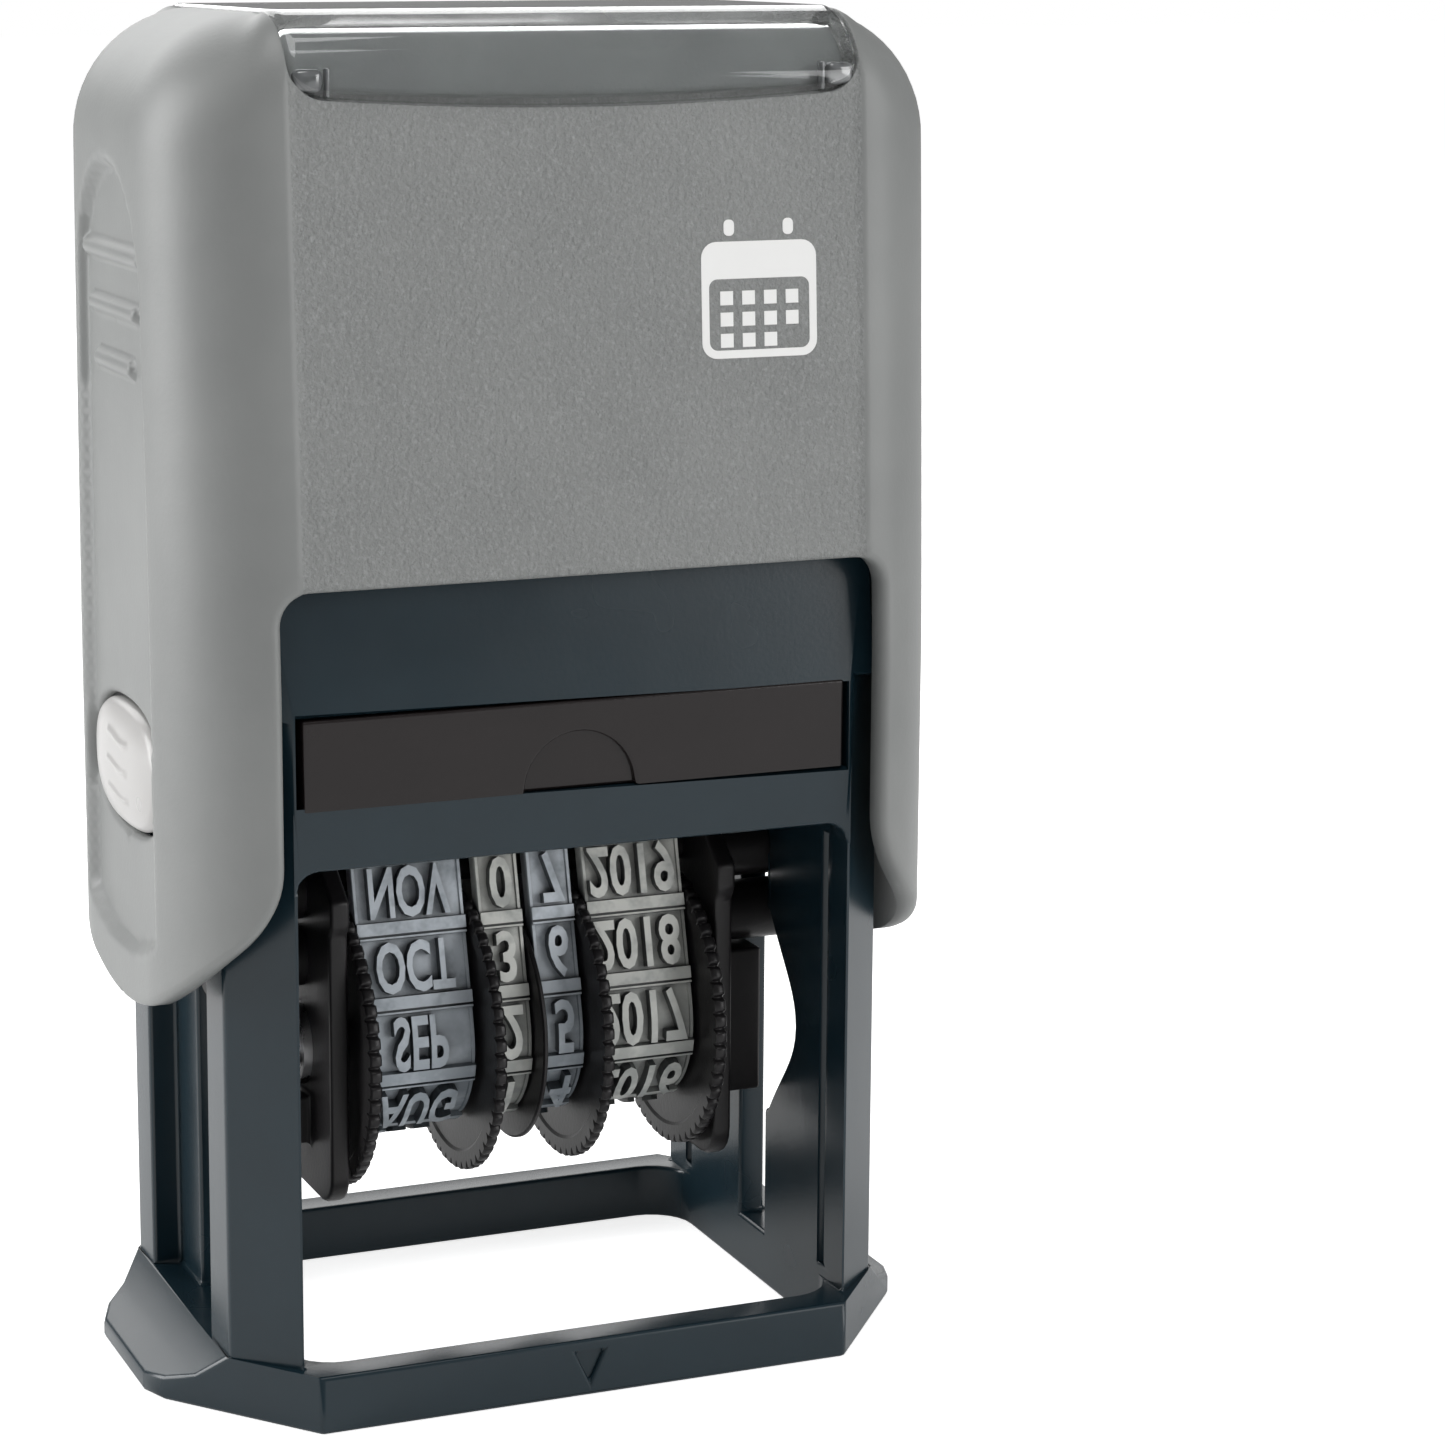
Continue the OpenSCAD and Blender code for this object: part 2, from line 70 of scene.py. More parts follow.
# Cover
HALF_W, HALF_D, TOP_HALF_D = 26.06, 17.0, 15.1
CORNER_X, CORNER_Y = 7.36, 10.5
COVER_TOP = 87.7
BROW_R, SHOULDER_R = 5.0, 8.0
PANEL_LOW, CUTOUT_HALF, CUTOUT_R = 53.4, 20.1, 2.0
LOBE_LOW, LOBE_R = 25.0, 21.67
PANEL_HALF, PANEL_SINK = 18.55, 0.16
COVER_WALL, COVER_FILLET = 1.4, 0.5
DRAFT_LOW, DRAFT_POWER = 47.0, 1.15
RECESS_HALF, RECESS_TOP, RECESS_SINK, RECESS_INSET = 8.0, 70.5, 0.7, 3.6
RIB_HALF, RIB_RISE = 0.6, 0.5
RIBS = [(72.8 - 3.45 * i, 7.4 - 1.3 * i) for i in range(3)]
WINDOW_HALF, WINDOW_SEAT, WINDOW_CORNER = 18.6, 1.5, 2.2
WINDOW_LOW, WINDOW_DIP = 82.0, 0.8
WINDOW_RIM = (-0.35, -0.1, -0.05, 0.0, 0.03, 0.3)
BUTTON_Z, BUTTON_LEN, BUTTON_H, BUTTON_GAP = 40.2, 15.0, 8.0, 0.22
OVAL_POWER = 0.8

# Date bands and wheels
SHAFT_Z, DISC_R, DRUM_R, DIVIDER_R = 20.6, 9.7, 4.88, 8.0
BELT_R, BELT_T, BELT_TOP = 5.9, 0.9, 38.85
EDGE_R, EDGE_Y = 1.0, 0.65
ROWS, RELIEF, LETTER_H = 12, 0.7, 3.3
BORE_R, WEB_R, WEB_SINK = 1.62, 8.3, 0.13
TEETH, TOOTH_STEPS, TOOTH_DEPTH, TOOTH_CROWN = 56, 10, 0.38, 0.09


# ------------------------------------------------------------------ materials

def new_material(name):
    material = bpy.data.materials.new(name)
    material.use_nodes = True
    tree = material.node_tree
    return material, tree, tree.nodes["Principled BSDF"]


def feed(made, inputs):
    """Sets each named or numbered input of a node to a value, or links an output to it."""
    for key, source in inputs.items():
        if isinstance(source, bpy.types.NodeSocket):
            made.id_data.links.new(source, made.inputs[key])
        else:
            made.inputs[key].default_value = source


def node(tree, kind, inputs, **settings):
    """A new node with those settings and inputs."""
    made = tree.nodes.new(kind)
    for key, value in settings.items():
        setattr(made, key, value)
    feed(made, inputs)
    return made


def noise(tree, scale, detail=4.0, roughness=0.6):
    """Noise in the object's own space, with that many features to the metre."""
    place = tree.nodes.new("ShaderNodeTexCoord").outputs["Object"]
    inputs = {"Vector": place, "Scale": scale, "Detail": detail, "Roughness": roughness}
    return node(tree, "ShaderNodeTexNoise", inputs).outputs["Fac"]


def ramp(tree, source, low, high, a, b):
    """Maps source from low..high to a..b, clamped."""
    inputs = {"Value": source, "From Min": low, "From Max": high, "To Min": a, "To Max": b}
    return node(tree, "ShaderNodeMapRange", inputs, clamp=True).outputs["Result"]


def mix_colour(tree, factor, a, b):
    """Mixes two colours; the Mix node's colour sockets are inputs 6 and 7 and output 2."""
    a, b = ((*colour, 1.0) if isinstance(colour, tuple) else colour for colour in (a, b))
    return node(tree, "ShaderNodeMix", {0: factor, 6: a, 7: b}, data_type="RGBA").outputs[2]


def math_node(tree, operation, a, b=0.0):
    return node(tree, "ShaderNodeMath", {0: a, 1: b}, operation=operation).outputs[0]


def bump(tree, height, strength, distance_m):
    inputs = {"Height": height, "Strength": strength, "Distance": distance_m}
    return node(tree, "ShaderNodeBump", inputs).outputs["Normal"]


def object_axis(tree, axis):
    """The object's own coordinate along an axis, 0 to 2, in metres."""
    place = tree.nodes.new("ShaderNodeTexCoord").outputs["Object"]
    return node(tree, "ShaderNodeSeparateXYZ", {0: place}).outputs[axis]


def moulded(name, colour, rough, grain=0.15, mottle=0.12, gloss=0.5):
    """Moulded plastic: a fine grain and slow changes of tone and gloss."""
    material, tree, shader = new_material(name)
    dark = tuple(c * (1 - mottle) for c in colour)
    light = tuple(min(1.0, c * (1 + mottle)) for c in colour)
    feed(shader, {
        "Specular IOR Level": gloss,
        "Base Color": mix_colour(tree, ramp(tree, noise(tree, 160.0, 3.0), 0.15, 0.85, 0, 1), dark, light),
        "Roughness": ramp(tree, noise(tree, 130.0, 2.0), 0.15, 0.85, rough * 0.88, rough * 1.12),
        "Normal": bump(tree, noise(tree, 3200.0, 2.0), grain, 0.00004),
    })
    return material


def cover_plastic():
    """Grey plastic, spark-eroded on the front and back panels and finer on the side lobes."""
    material, tree, shader = new_material("cover_grey")
    x = math_node(tree, "ABSOLUTE", object_axis(tree, 0))
    panel = ramp(tree, x, (PANEL_HALF + 0.15) * MM, PANEL_HALF * MM, 0.0, 1.0)
    tone = noise(tree, 90.0, 3.0)
    speck = noise(tree, 3400.0, 3.0, 0.7)
    base = mix_colour(tree, ramp(tree, tone, 0.3, 0.7, 0, 1), (0.196, 0.203, 0.200), (0.224, 0.231, 0.227))
    # Lighter specks on the panels: partly the grain's own specks, partly painted sparkle.
    speck_sparkle = math_node(tree, "MULTIPLY", ramp(tree, speck, 0.5, 0.75, 0.0, 1.0), panel)
    feed(shader, {
        "Base Color": mix_colour(tree, speck_sparkle, base, (0.275, 0.285, 0.282)),
        "Roughness": ramp(tree, panel, 0, 1, 0.44, 0.52),
    })
    grain = {
        "Height": noise(tree, 3000.0, 2.0, 0.6),
        "Normal": bump(tree, noise(tree, 2600.0, 2.0), 0.12, 0.00005),
        "Strength": ramp(tree, panel, 0, 1, 0.05, 0.85),
        "Distance": 0.00022,
    }
    feed(shader, {"Normal": node(tree, "ShaderNodeBump", grain).outputs["Normal"]})
    return material


def band_rubber(name, face, stain_and_shade):
    """Rubber whose standing faces stay pale, while the letter flanks and the recesses are darkened by old ink
    and by painted shade.
    """
    material, tree, shader = new_material(name)
    # Ambient occlusion darkens the hollows in the colour: painted shade.
    crevice_shade = node(tree, "ShaderNodeAmbientOcclusion", {"Distance": 0.0012}, samples=8)
    clean_unshaded = node(tree, "ShaderNodeAttribute", {}, attribute_name="relief")
    smear = noise(tree, 520.0, 3.0)
    hollow_shade = ramp(tree, crevice_shade.outputs["AO"], 0.25, 0.9, 1.0, 0.0)
    # Faces with low cleanness, such as letter flanks, turn dark: partly ink, partly painted shade.
    flank_ink_shade = ramp(tree, clean_unshaded.outputs["Fac"], 0.0, 0.95, 1.0, 0.0)
    ink_and_shade_share = math_node(tree, "MAXIMUM", ramp(tree, flank_ink_shade, 0.3, 1.0, 0.0, 0.93),
                       math_node(tree, "MULTIPLY", hollow_shade, ramp(tree, flank_ink_shade, 0.0, 0.3, 0.25, 1.0)))
    # More patches of the stain colour towards the bottom of the belt.
    lower = ramp(tree, object_axis(tree, 2), 0.029, 0.016, 0.0, 0.75)
    patches = math_node(tree, "MAXIMUM", ramp(tree, smear, 0.45, 0.68, 0.0, 0.55),
                        math_node(tree, "MULTIPLY", lower, ramp(tree, smear, 0.3, 0.55, 0.4, 1.0)))
    body = mix_colour(tree, patches, face, stain_and_shade)
    feed(shader, {
        # The darkest colour is ink and painted shade together.
        "Base Color": mix_colour(tree, ink_and_shade_share, body, tuple(c * 0.22 for c in stain_and_shade)),
        "Roughness": 0.4,
        "Normal": bump(tree, noise(tree, 2500.0, 2.0), 0.15, 0.00004),
    })
    return material


def clear_plastic():
    """Clear polished plastic with faint smears."""
    material, tree, shader = new_material("clear_plastic")
    feed(shader, {
        "Base Color": (0.93, 0.94, 0.94, 1),
        "Transmission Weight": 1.0,
        "IOR": 1.08,
        "Coat Weight": 1.0,
        "Coat Roughness": 0.03,
        "Roughness": ramp(tree, noise(tree, 220.0, 3.0), 0.4, 0.7, 0.04, 0.14),
    })
    return material


def hook_plastic():
    """Clear plastic drawn opaque: its dark colour is painted shade for the dark look of thick clear plastic
    against the cover, and its bright edges come from reflections.
    """
    material, tree, shader = new_material("hook_plastic")
    # The dark base colour is painted shade, in place of seeing into the clear plastic.
    dark, light = (0.03, 0.032, 0.034), (0.22, 0.23, 0.235)
    feed(shader, {
        "Base Color": mix_colour(tree, noise(tree, 700.0, 2.0), dark, light),
        "Roughness": 0.06,
        "IOR": 1.9,
    })
    return material


def ink_felt():
    """Felt soaked with black ink."""
    material, tree, shader = new_material("ink_felt")
    fibres = noise(tree, 1800.0, 6.0, 0.8)
    feed(shader, {
        "Base Color": mix_colour(tree, fibres, (0.01, 0.01, 0.016), (0.035, 0.035, 0.05)),
        "Roughness": 0.9,
        "Normal": bump(tree, fibres, 0.6, 0.0002),
    })
    return material


def steel():
    """Drawn steel with faint streaks."""
    material, tree, shader = new_material("steel")
    streaks = noise(tree, 900.0, 4.0)
    feed(shader, {
        "Base Color": mix_colour(tree, streaks, (0.45, 0.45, 0.46), (0.62, 0.62, 0.63)),
        "Metallic": 1.0,
        "Roughness": ramp(tree, streaks, 0.3, 0.7, 0.22, 0.38),
    })
    return material


GREY = cover_plastic()
BLUE = moulded("frame_blue", (0.007, 0.019, 0.027), 0.26, grain=0.12, mottle=0.12, gloss=0.42)
DRAWER = moulded("drawer_black", (0.011, 0.008, 0.008), 0.22, grain=0.25, mottle=0.2, gloss=0.36)
BLACK = moulded("black_plastic", (0.012, 0.011, 0.012), 0.36, grain=0.3, mottle=0.2, gloss=0.3)
INNER = moulded("inner_grey", (0.20, 0.21, 0.215), 0.5)
WHITE = moulded("button_white", (0.44, 0.432, 0.424), 0.3, grain=0.1, mottle=0.02)
CARD = moulded("card_grey", (0.20, 0.21, 0.21), 0.7, grain=0.8, mottle=0.15)
PRINT = moulded("white_print", (0.82, 0.82, 0.81), 0.5, grain=0.1, mottle=0.02)
CLEAR = clear_plastic()
HOOK = hook_plastic()
FELT = ink_felt()
STEEL = steel()
BLUE_BAND = band_rubber("band_blue_grey", (0.56, 0.61, 0.66), (0.11, 0.14, 0.165))
IVORY_BAND = band_rubber("band_ivory_grey", (0.66, 0.67, 0.63), (0.17, 0.19, 0.19))


# ------------------------------------------------------------------ building

def piece_from(name, mesh, body, material, nodes=(), smooth=True):
    """An object of that mesh, riding on a body and standing for CAD nodes."""
    mesh.materials.clear()
    mesh.materials.append(material)
    for polygon in mesh.polygons:
        polygon.use_smooth = smooth
    made = bpy.data.objects.new(name, mesh)
    bpy.context.collection.objects.link(made)
    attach(made, body)
    if nodes:
        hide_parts(*nodes)
    return made


def body_of(node_name):
    return frame["nodes"][node_name]["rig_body"]


def raw_mesh(name, points, faces):
    """A mesh from points in millimetres, with nothing merged or turned."""
    mesh = bpy.data.meshes.new(name)
    places = [tuple(float(c) * MM for c in p) for p in points]
    mesh.from_pydata(places, [], [tuple(map(int, f)) for f in faces])
    return mesh


def mesh_of(name, points, faces):
    """A mesh from points in millimetres, with its normals facing out."""
    mesh = raw_mesh(name, points, faces)
    mesh.validate()
    work = bmesh.new()
    work.from_mesh(mesh)
    bmesh.ops.remove_doubles(work, verts=work.verts, dist=1e-7)
    bmesh.ops.recalc_face_normals(work, faces=work.faces)
    work.to_mesh(mesh)
    work.free()
    return mesh


def joined(parts):
    """The points and faces of several parts as one."""
    points, faces = [], []
    for more_points, more_faces in parts:
        base = len(points)
        points += list(more_points)
        faces += [tuple(base + i for i in face) for face in more_faces]
    return points, faces


def edges_to_round(work, width):
    """Sharp edges with room on both sides for a rounding of that width."""
    chosen = []
    for edge in work.edges:
        if len(edge.link_faces) != 2 or edge.calc_face_angle(0.0) < math.radians(30.0):
            continue
        length = edge.calc_length()
        room = min(face.calc_area() for face in edge.link_faces) / length
        needed = (1.3 if edge.is_convex else 2.2) * width * MM
        if length > 0.15 * MM and room > needed:
            chosen.append(edge)
    return chosen


def refined(node_name, body, material, width):
    """A CAD node with its flats joined and its edges rounded."""
    source = frame["nodes"][node_name]
    work = bmesh.new()
    work.from_mesh(source.data)
    bmesh.ops.remove_doubles(work, verts=work.verts, dist=1e-6)
    bmesh.ops.dissolve_limit(work, angle_limit=math.radians(0.5), verts=work.verts, edges=work.edges)
    bmesh.ops.connect_verts_concave(work, faces=work.faces)
    bmesh.ops.bevel(work, geom=edges_to_round(work, width), offset=width * MM, segments=2,
                    profile=0.5, affect="EDGES", clamp_overlap=False, loop_slide=False)
    for edge in work.edges:
        edge.smooth = edge.calc_face_angle(0.0) < math.radians(50.0)
    mesh = bpy.data.meshes.new(node_name + "_detail")
    work.to_mesh(mesh)
    work.free()
    made = piece_from(node_name + "_detail", mesh, body, material, (node_name,))
    even = made.modifiers.new("shading", "WEIGHTED_NORMAL")
    even.keep_sharp = True


def smooth_step(low, high, value):
    share = np.clip((value - low) / (high - low), 0, 1)
    return share * share * (3 - 2 * share)


def rounded_off(edge, radius):
    """How far a rounded edge falls below a surface, at a distance from the edge."""
    return radius - np.sqrt(np.maximum(radius ** 2 - np.maximum(radius - edge, 0) ** 2, 0))


def spaced(groups):
    """Points of each (points, span) in turn, but for any closer than its span to one kept before."""
    kept, cells, size = [], {}, 0.25
    for points, span in groups:
        reach = int(math.ceil(span / size))
        for p in points:
            cx, cy = int(p[0] // size), int(p[1] // size)
            around = (q for ix in range(cx - reach, cx + reach + 1)
                      for iy in range(cy - reach, cy + reach + 1) for q in cells.get((ix, iy), ()))
            if all((q[0] - p[0]) ** 2 + (q[1] - p[1]) ** 2 >= span * span for q in around):
                cells.setdefault((cx, cy), []).append(p)
                kept.append((float(p[0]), float(p[1])))
    return kept


def distance_to(points, lines):
    """Distance from each point to the nearest segment of the lines, worked out in batches."""
    best = np.full(len(points), 1e9)
    batch = 2000
    for line in lines:
        a = np.asarray(line[:-1])
        step = np.asarray(line[1:]) - a
        length = np.maximum((step ** 2).sum(1), 1e-12)
        for start in range(0, len(points), batch):
            p = points[start:start + batch]
            share = np.clip(((p[:, None] - a) * step).sum(2) / length, 0, 1)
            near = a + share[..., None] * step
            gap = np.sqrt(((p[:, None] - near) ** 2).sum(2)).min(1)
            best[start:start + batch] = np.minimum(best[start:start + batch], gap)
    return best


def inside(points, outline):
    """True for points inside the closed outline."""
    odd = np.zeros(len(points), bool)
    a = np.asarray(outline)
    for p0, p1 in zip(a, np.roll(a, -1, 0)):
        if p0[1] == p1[1]:
            continue
        crosses = (p0[1] > points[:, 1]) != (p1[1] > points[:, 1])
        x = p0[0] + (points[:, 1] - p0[1]) * (p1[0] - p0[0]) / (p1[1] - p0[1])
        odd ^= crosses & (points[:, 0] < x)
    return odd


def resampled(line, step):
    """The same line with points no more than step apart."""
    out = [tuple(line[0])]
    for a, b in zip(line[:-1], line[1:]):
        count = max(1, int(math.ceil(math.dist(a, b) / step)))
        out += [(a[0] + (b[0] - a[0]) * i / count, a[1] + (b[1] - a[1]) * i / count)
                for i in range(1, count + 1)]
    return out


def triangulated(outline, groups):
    """Points and triangles that fill a flat closed outline, using the points of each (points, span)."""
    rim = [tuple(map(float, p)) for p in outline]
    edges = [(i, (i + 1) % len(rim)) for i in range(len(rim))]
    taken = spaced([(rim, 1e-6)] + groups)
    points, _, faces, *_ = geometry.delaunay_2d_cdt(taken, edges, [], 0, 1e-7)
    points = np.array([(p[0], p[1]) for p in points])
    faces = np.array(faces)
    centres = points[faces].mean(1)
    return points, faces[inside(centres, outline)]


def offset_points(line, distances):
    """Rows of points beside a line, one at each signed distance from it."""
    a = np.asarray(line)
    step = np.gradient(a, axis=0)
    step /= np.maximum(np.linalg.norm(step, axis=1, keepdims=True), 1e-9)
    side = np.stack([-step[:, 1], step[:, 0]], 1)
    return [a + side * d for d in distances]


def grid(x0, x1, y0, y1, step):
    """Staggered rows of points over a rectangle."""
    xs, ys = np.meshgrid(np.arange(x0, x1, step), np.arange(y0, y1, step))
    xs = xs + (np.arange(ys.shape[0])[:, None] % 2) * step / 2
    return np.stack([xs.ravel(), ys.ravel()], 1)


# ------------------------------------------------------------------ cover surface

# Runs along the outline in plan: the flat front, the elliptic corner and the flat side
ARC_ANGLES = np.linspace(0, math.pi / 2, 400)
ARC_POINTS = np.stack([CORNER_X * np.sin(ARC_ANGLES), CORNER_Y * np.cos(ARC_ANGLES)], 1)
ARC_RUNS = np.concatenate([[0], np.cumsum(np.linalg.norm(np.diff(ARC_POINTS, axis=0), axis=1))])
FRONT_RUN = HALF_W - CORNER_X
CORNER_RUN = ARC_RUNS[-1]
SIDE_RUN = HALF_D - CORNER_Y
QUARTER_RUN = FRONT_RUN + CORNER_RUN + SIDE_RUN


def plan(s):
    """Point and outward normal of the cover's plan at run s from the middle of the front."""
    b = np.interp(s - FRONT_RUN, ARC_RUNS, ARC_ANGLES)
    x = np.minimum(s, FRONT_RUN) + CORNER_X * np.sin(b)
    y = -(SIDE_RUN + CORNER_Y * np.cos(b))
    y = y + np.maximum(s - FRONT_RUN - CORNER_RUN, 0)
    nx, ny = np.sin(b) / CORNER_X, -np.cos(b) / CORNER_Y
    length = np.hypot(nx, ny)
    return x, y, nx / length, ny / length


def draft(z):
    """The cover's depth at a height as a share of its full depth, as front and back lean in."""
    rise = np.maximum(z - DRAFT_LOW, 0) ** DRAFT_POWER
    full = (COVER_TOP - BROW_R - DRAFT_LOW) ** DRAFT_POWER
    return 1 - (HALF_D - TOP_HALF_D) / HALF_D * np.minimum(rise / full, 1.0)


def shoulder(nx):
    """Radius of the upper edge where the outline faces nx, and the height where it starts."""
    share = np.clip(np.abs(nx), 0, 1)
    radius = BROW_R + (SHOULDER_R - BROW_R) * share * share * (3 - 2 * share)
    return radius, COVER_TOP - radius


def cover_place(s, t, depth):
    """Point of the cover at run s round it and run t up it, sunk by depth."""
    x, y, nx, ny = plan(s)
    radius, spring_line = shoulder(nx)
    angle = np.clip((t - spring_line) / radius, 0, math.pi / 2)
    z = np.where(t < spring_line, t, spring_line + radius * np.sin(angle))
    inset = radius * (1 - np.cos(angle))
    flat = np.cos(angle)
    return np.stack([
        x - nx * inset - nx * flat * depth,
        y * draft(z) - ny * inset - ny * flat * depth,
        z - np.sin(angle) * depth,
    ], 1)


def lobe_edge(y):
    """Height of the round lower edge of a side lobe."""
    return LOBE_LOW + LOBE_R - np.sqrt(LOBE_R ** 2 - y ** 2)


def window_edge(x):
    """Height of the lower edge of the index window, which dips in the middle."""
    return WINDOW_LOW + WINDOW_DIP * (x / WINDOW_HALF) ** 2


def window_distance(x, t):
    """Below 0 inside the index window's outline, above 0 outside."""
    dx = np.abs(x) - WINDOW_HALF + WINDOW_CORNER
    dt = window_edge(x) - t + WINDOW_CORNER
    rounded = np.hypot(np.maximum(dx, 0), np.maximum(dt, 0)) + np.minimum(np.maximum(dx, dt), 0)
    return rounded - WINDOW_CORNER


def recess_distance(y, z):
    """Below 0 inside the side recess, which has a round top and follows the lobe at its foot."""
    side = np.where(z > RECESS_TOP, np.hypot(y, z - RECESS_TOP), np.abs(y)) - RECESS_HALF
    centre = LOBE_LOW + LOBE_R
    foot = np.where(z < centre, np.hypot(y, z - centre) - (LOBE_R - RECESS_INSET), -RECESS_HALF)
    return np.maximum(side, foot)


def relief_depth(s, t):
    """Depth below the plain surface of everything moulded into the cover."""
    x, y, nx, _ = plan(s)
    depth = PANEL_SINK * (1 - smooth_step(-0.12, 0.12, x - PANEL_HALF))
    depth = depth + RECESS_SINK * (1 - smooth_step(-0.5, 0.3, recess_distance(y, t)))
    for z, half in RIBS:
        away = np.hypot(np.maximum(np.abs(y) - (half - RIB_HALF), 0), t - z) / RIB_HALF
        depth = depth - RIB_RISE * np.sqrt(np.clip(1 - away ** 2, 0, 1)) * (nx > 0.9)
    seat = 1 - smooth_step(-0.08, 0.0, window_distance(x, t))
    return depth * (1 - seat) + WINDOW_SEAT * seat


def oval(angle):
    """A point of the lock button's outline, which is a little squarer than an ellipse, from -1 to 1."""
    across, up = math.sin(angle), math.cos(angle)
    return (math.copysign(abs(across) ** OVAL_POWER, across), math.copysign(abs(up) ** OVAL_POWER, up))


def button_hole(count=72):
    """Right half of the hole for the lock button, as runs and heights from its top to its foot."""
    half_y, half_z = BUTTON_LEN / 2 + BUTTON_GAP, BUTTON_H / 2 + BUTTON_GAP
    turns = [oval(math.pi * i / count) for i in range(count + 1)]
    return [(QUARTER_RUN - half_y * y, BUTTON_Z + half_z * z) for y, z in turns]


def lobe_foot(s):
    """Height of the cover's lower edge at run s round the side."""
    y = float(plan(np.array([s]))[1][0])
    return float(lobe_edge(y))


def lower_edge():
    """The cover's lower edge: over the front cut-out, down beside it and along the side lobe."""
    growing = np.linspace(0, QUARTER_RUN, 4000)[:3200]  # the runs on which x still grows
    cut_s = float(np.interp(CUTOUT_HALF, plan(growing)[0], growing))
    middle_s, middle_z = cut_s - CUTOUT_R, PANEL_LOW - CUTOUT_R
    line = [(0, PANEL_LOW)]
    line += [(middle_s + CUTOUT_R * math.sin(a), middle_z + CUTOUT_R * math.cos(a))
             for a in np.linspace(0, math.pi / 2, 10)]
    turn, bulge = 3.6, 0.4
    above = np.array((cut_s, lobe_foot(cut_s) + turn))
    corner = np.array((cut_s, lobe_foot(cut_s) + bulge))
    beside = np.array((cut_s + turn, lobe_foot(cut_s + turn)))
    line += [tuple((1 - u) ** 2 * above + 2 * u * (1 - u) * corner + u * u * beside)
             for u in np.linspace(0, 1, 12)]
    line += [(s, lobe_foot(s)) for s in np.linspace(cut_s + turn, QUARTER_RUN, 40)[1:]]
    return resampled(line, 0.5)


def window_line(top):
    """The index window's outline in run and height, from its middle round its corner up to top."""
    turn_x = WINDOW_HALF - WINDOW_CORNER
    line = resampled([(x, float(window_edge(x))) for x in np.linspace(0, turn_x, 30)], 0.4)
    for a in np.linspace(0.1, math.pi / 2, 14):
        x = turn_x + WINDOW_CORNER * math.sin(a)
        line.append((x, float(window_edge(x)) + WINDOW_CORNER * (1 - math.cos(a))))
    return line + [(WINDOW_HALF, z) for z in np.arange(line[-1][1] + 0.4, top, 0.4)]


def cover_quarter():
    """A quarter of the cover unrolled: its points in run and height, its faces and its free edges."""
    free, hole = lower_edge(), button_hole()
    crown_s = np.linspace(QUARTER_RUN, 0, 90)
    radius, spring_line = shoulder(plan(crown_s)[2])
    crown_t = spring_line + radius * math.pi / 2
    side_top = COVER_TOP - SHOULDER_R
    rim = WINDOW_LOW + np.array(WINDOW_RIM)
    steps = np.sort(np.concatenate([np.linspace(crown_t[-1], PANEL_LOW, 60)[1:-1], rim]))
    outline = free + [(QUARTER_RUN, z) for z in np.linspace(free[-1][1], hole[-1][1], 20)[1:-1]]
    outline += hole[::-1] + [(QUARTER_RUN, z) for z in np.linspace(hole[0][1], side_top, 200)[1:]]
    outline += [(QUARTER_RUN, z) for z in np.linspace(side_top, crown_t[0], 16)[1:-1]]
    outline += list(zip(crown_s, crown_t)) + [(0.0, float(z)) for z in steps[::-1]]

    # Points where the surface bends: at the window, the panel's side and the free edges, then
    # finer to coarser over the ribs, the recess and the rest
    panel_side = [(PANEL_HALF, z) for z in np.arange(PANEL_LOW + 0.4, 84, 0.9)]
    beside_edge = (0.08, 0.2, 0.36, 0.55, 0.9, -0.08, -0.2, -0.36, -0.55, -0.9)
    groups = [(rows, 0.02) for rows in offset_points(window_line(crown_t[-1] + 0.3), WINDOW_RIM)]
    groups += [(rows, 0.1) for rows in offset_points(panel_side, (-0.14, 0.14, -0.5, 0.5))]
    groups += [(rows, 0.07) for edge in (free, hole) for rows in offset_points(edge, beside_edge)]
    groups += [(grid(QUARTER_RUN - 8.6, QUARTER_RUN - 0.05, 64.2, 74.6, 0.24), 0.18),
               (grid(QUARTER_RUN - 9.6, QUARTER_RUN - 0.1, 27, 80, 0.5), 0.34),
               (grid(0.3, QUARTER_RUN - 0.1, 25, 96, 0.85), 0.55)]
    clear = 0.06
    near = [(points[inside(points, outline) & (distance_to(points, [outline + outline[:1]]) > clear)], span)
            for points, span in groups]
    points, faces = triangulated(outline, near)
    return points, faces, [free, hole]


def clear_of_frame(face):
    """The inner face, moved out where the frame comes up inside the pressed cover."""
    heights, depths = (61.0, 67.7, 77.9, 84.2), (14.75, 14.75, 13.5, 11.8)
    half_w, low, margin = 20.9, 60.0, 1.0
    x, y, z = face.T
    need = np.interp(z, heights, depths)
    near = (np.abs(x) < half_w) & (z > low) & (z < heights[-1]) & (y < margin - need)
    face[:, 1] = np.where(near, np.minimum(y, -need), y)
    return face


def quarter_shell():
    """Points of a quarter of the cover, outer face first, and its faces with the free edges closed."""
    seat_wall, seat_margin = 1.2, 0.8
    points, faces, free_edges = cover_quarter()
    s, t = points[:, 0], points[:, 1]
    rounding = rounded_off(distance_to(points, free_edges), COVER_FILLET)
    outer = cover_place(s, t, relief_depth(s, t) + rounding)
    under_window = window_distance(plan(s)[0], t) < seat_margin
    wall = np.where(under_window, WINDOW_SEAT + seat_wall, COVER_WALL)
    inner = clear_of_frame(cover_place(s, t, wall))
    count = len(points)
    shell = [tuple(f) for f in faces] + [tuple(count + i for i in f[::-1]) for f in faces]
    use = {}
    for f in faces:
        for a, b in zip(f, np.roll(f, -1)):
            use.setdefault((min(a, b), max(a, b)), []).append((a, b))
    for (a, b), *others in use.values():
        middle = (points[a] + points[b])[None] / 2
        if not others and distance_to(middle, free_edges)[0] < 1e-3:
            shell += [(a, b, count + b), (a, count + b, count + a)]
    return np.concatenate([outer, inner]), shell


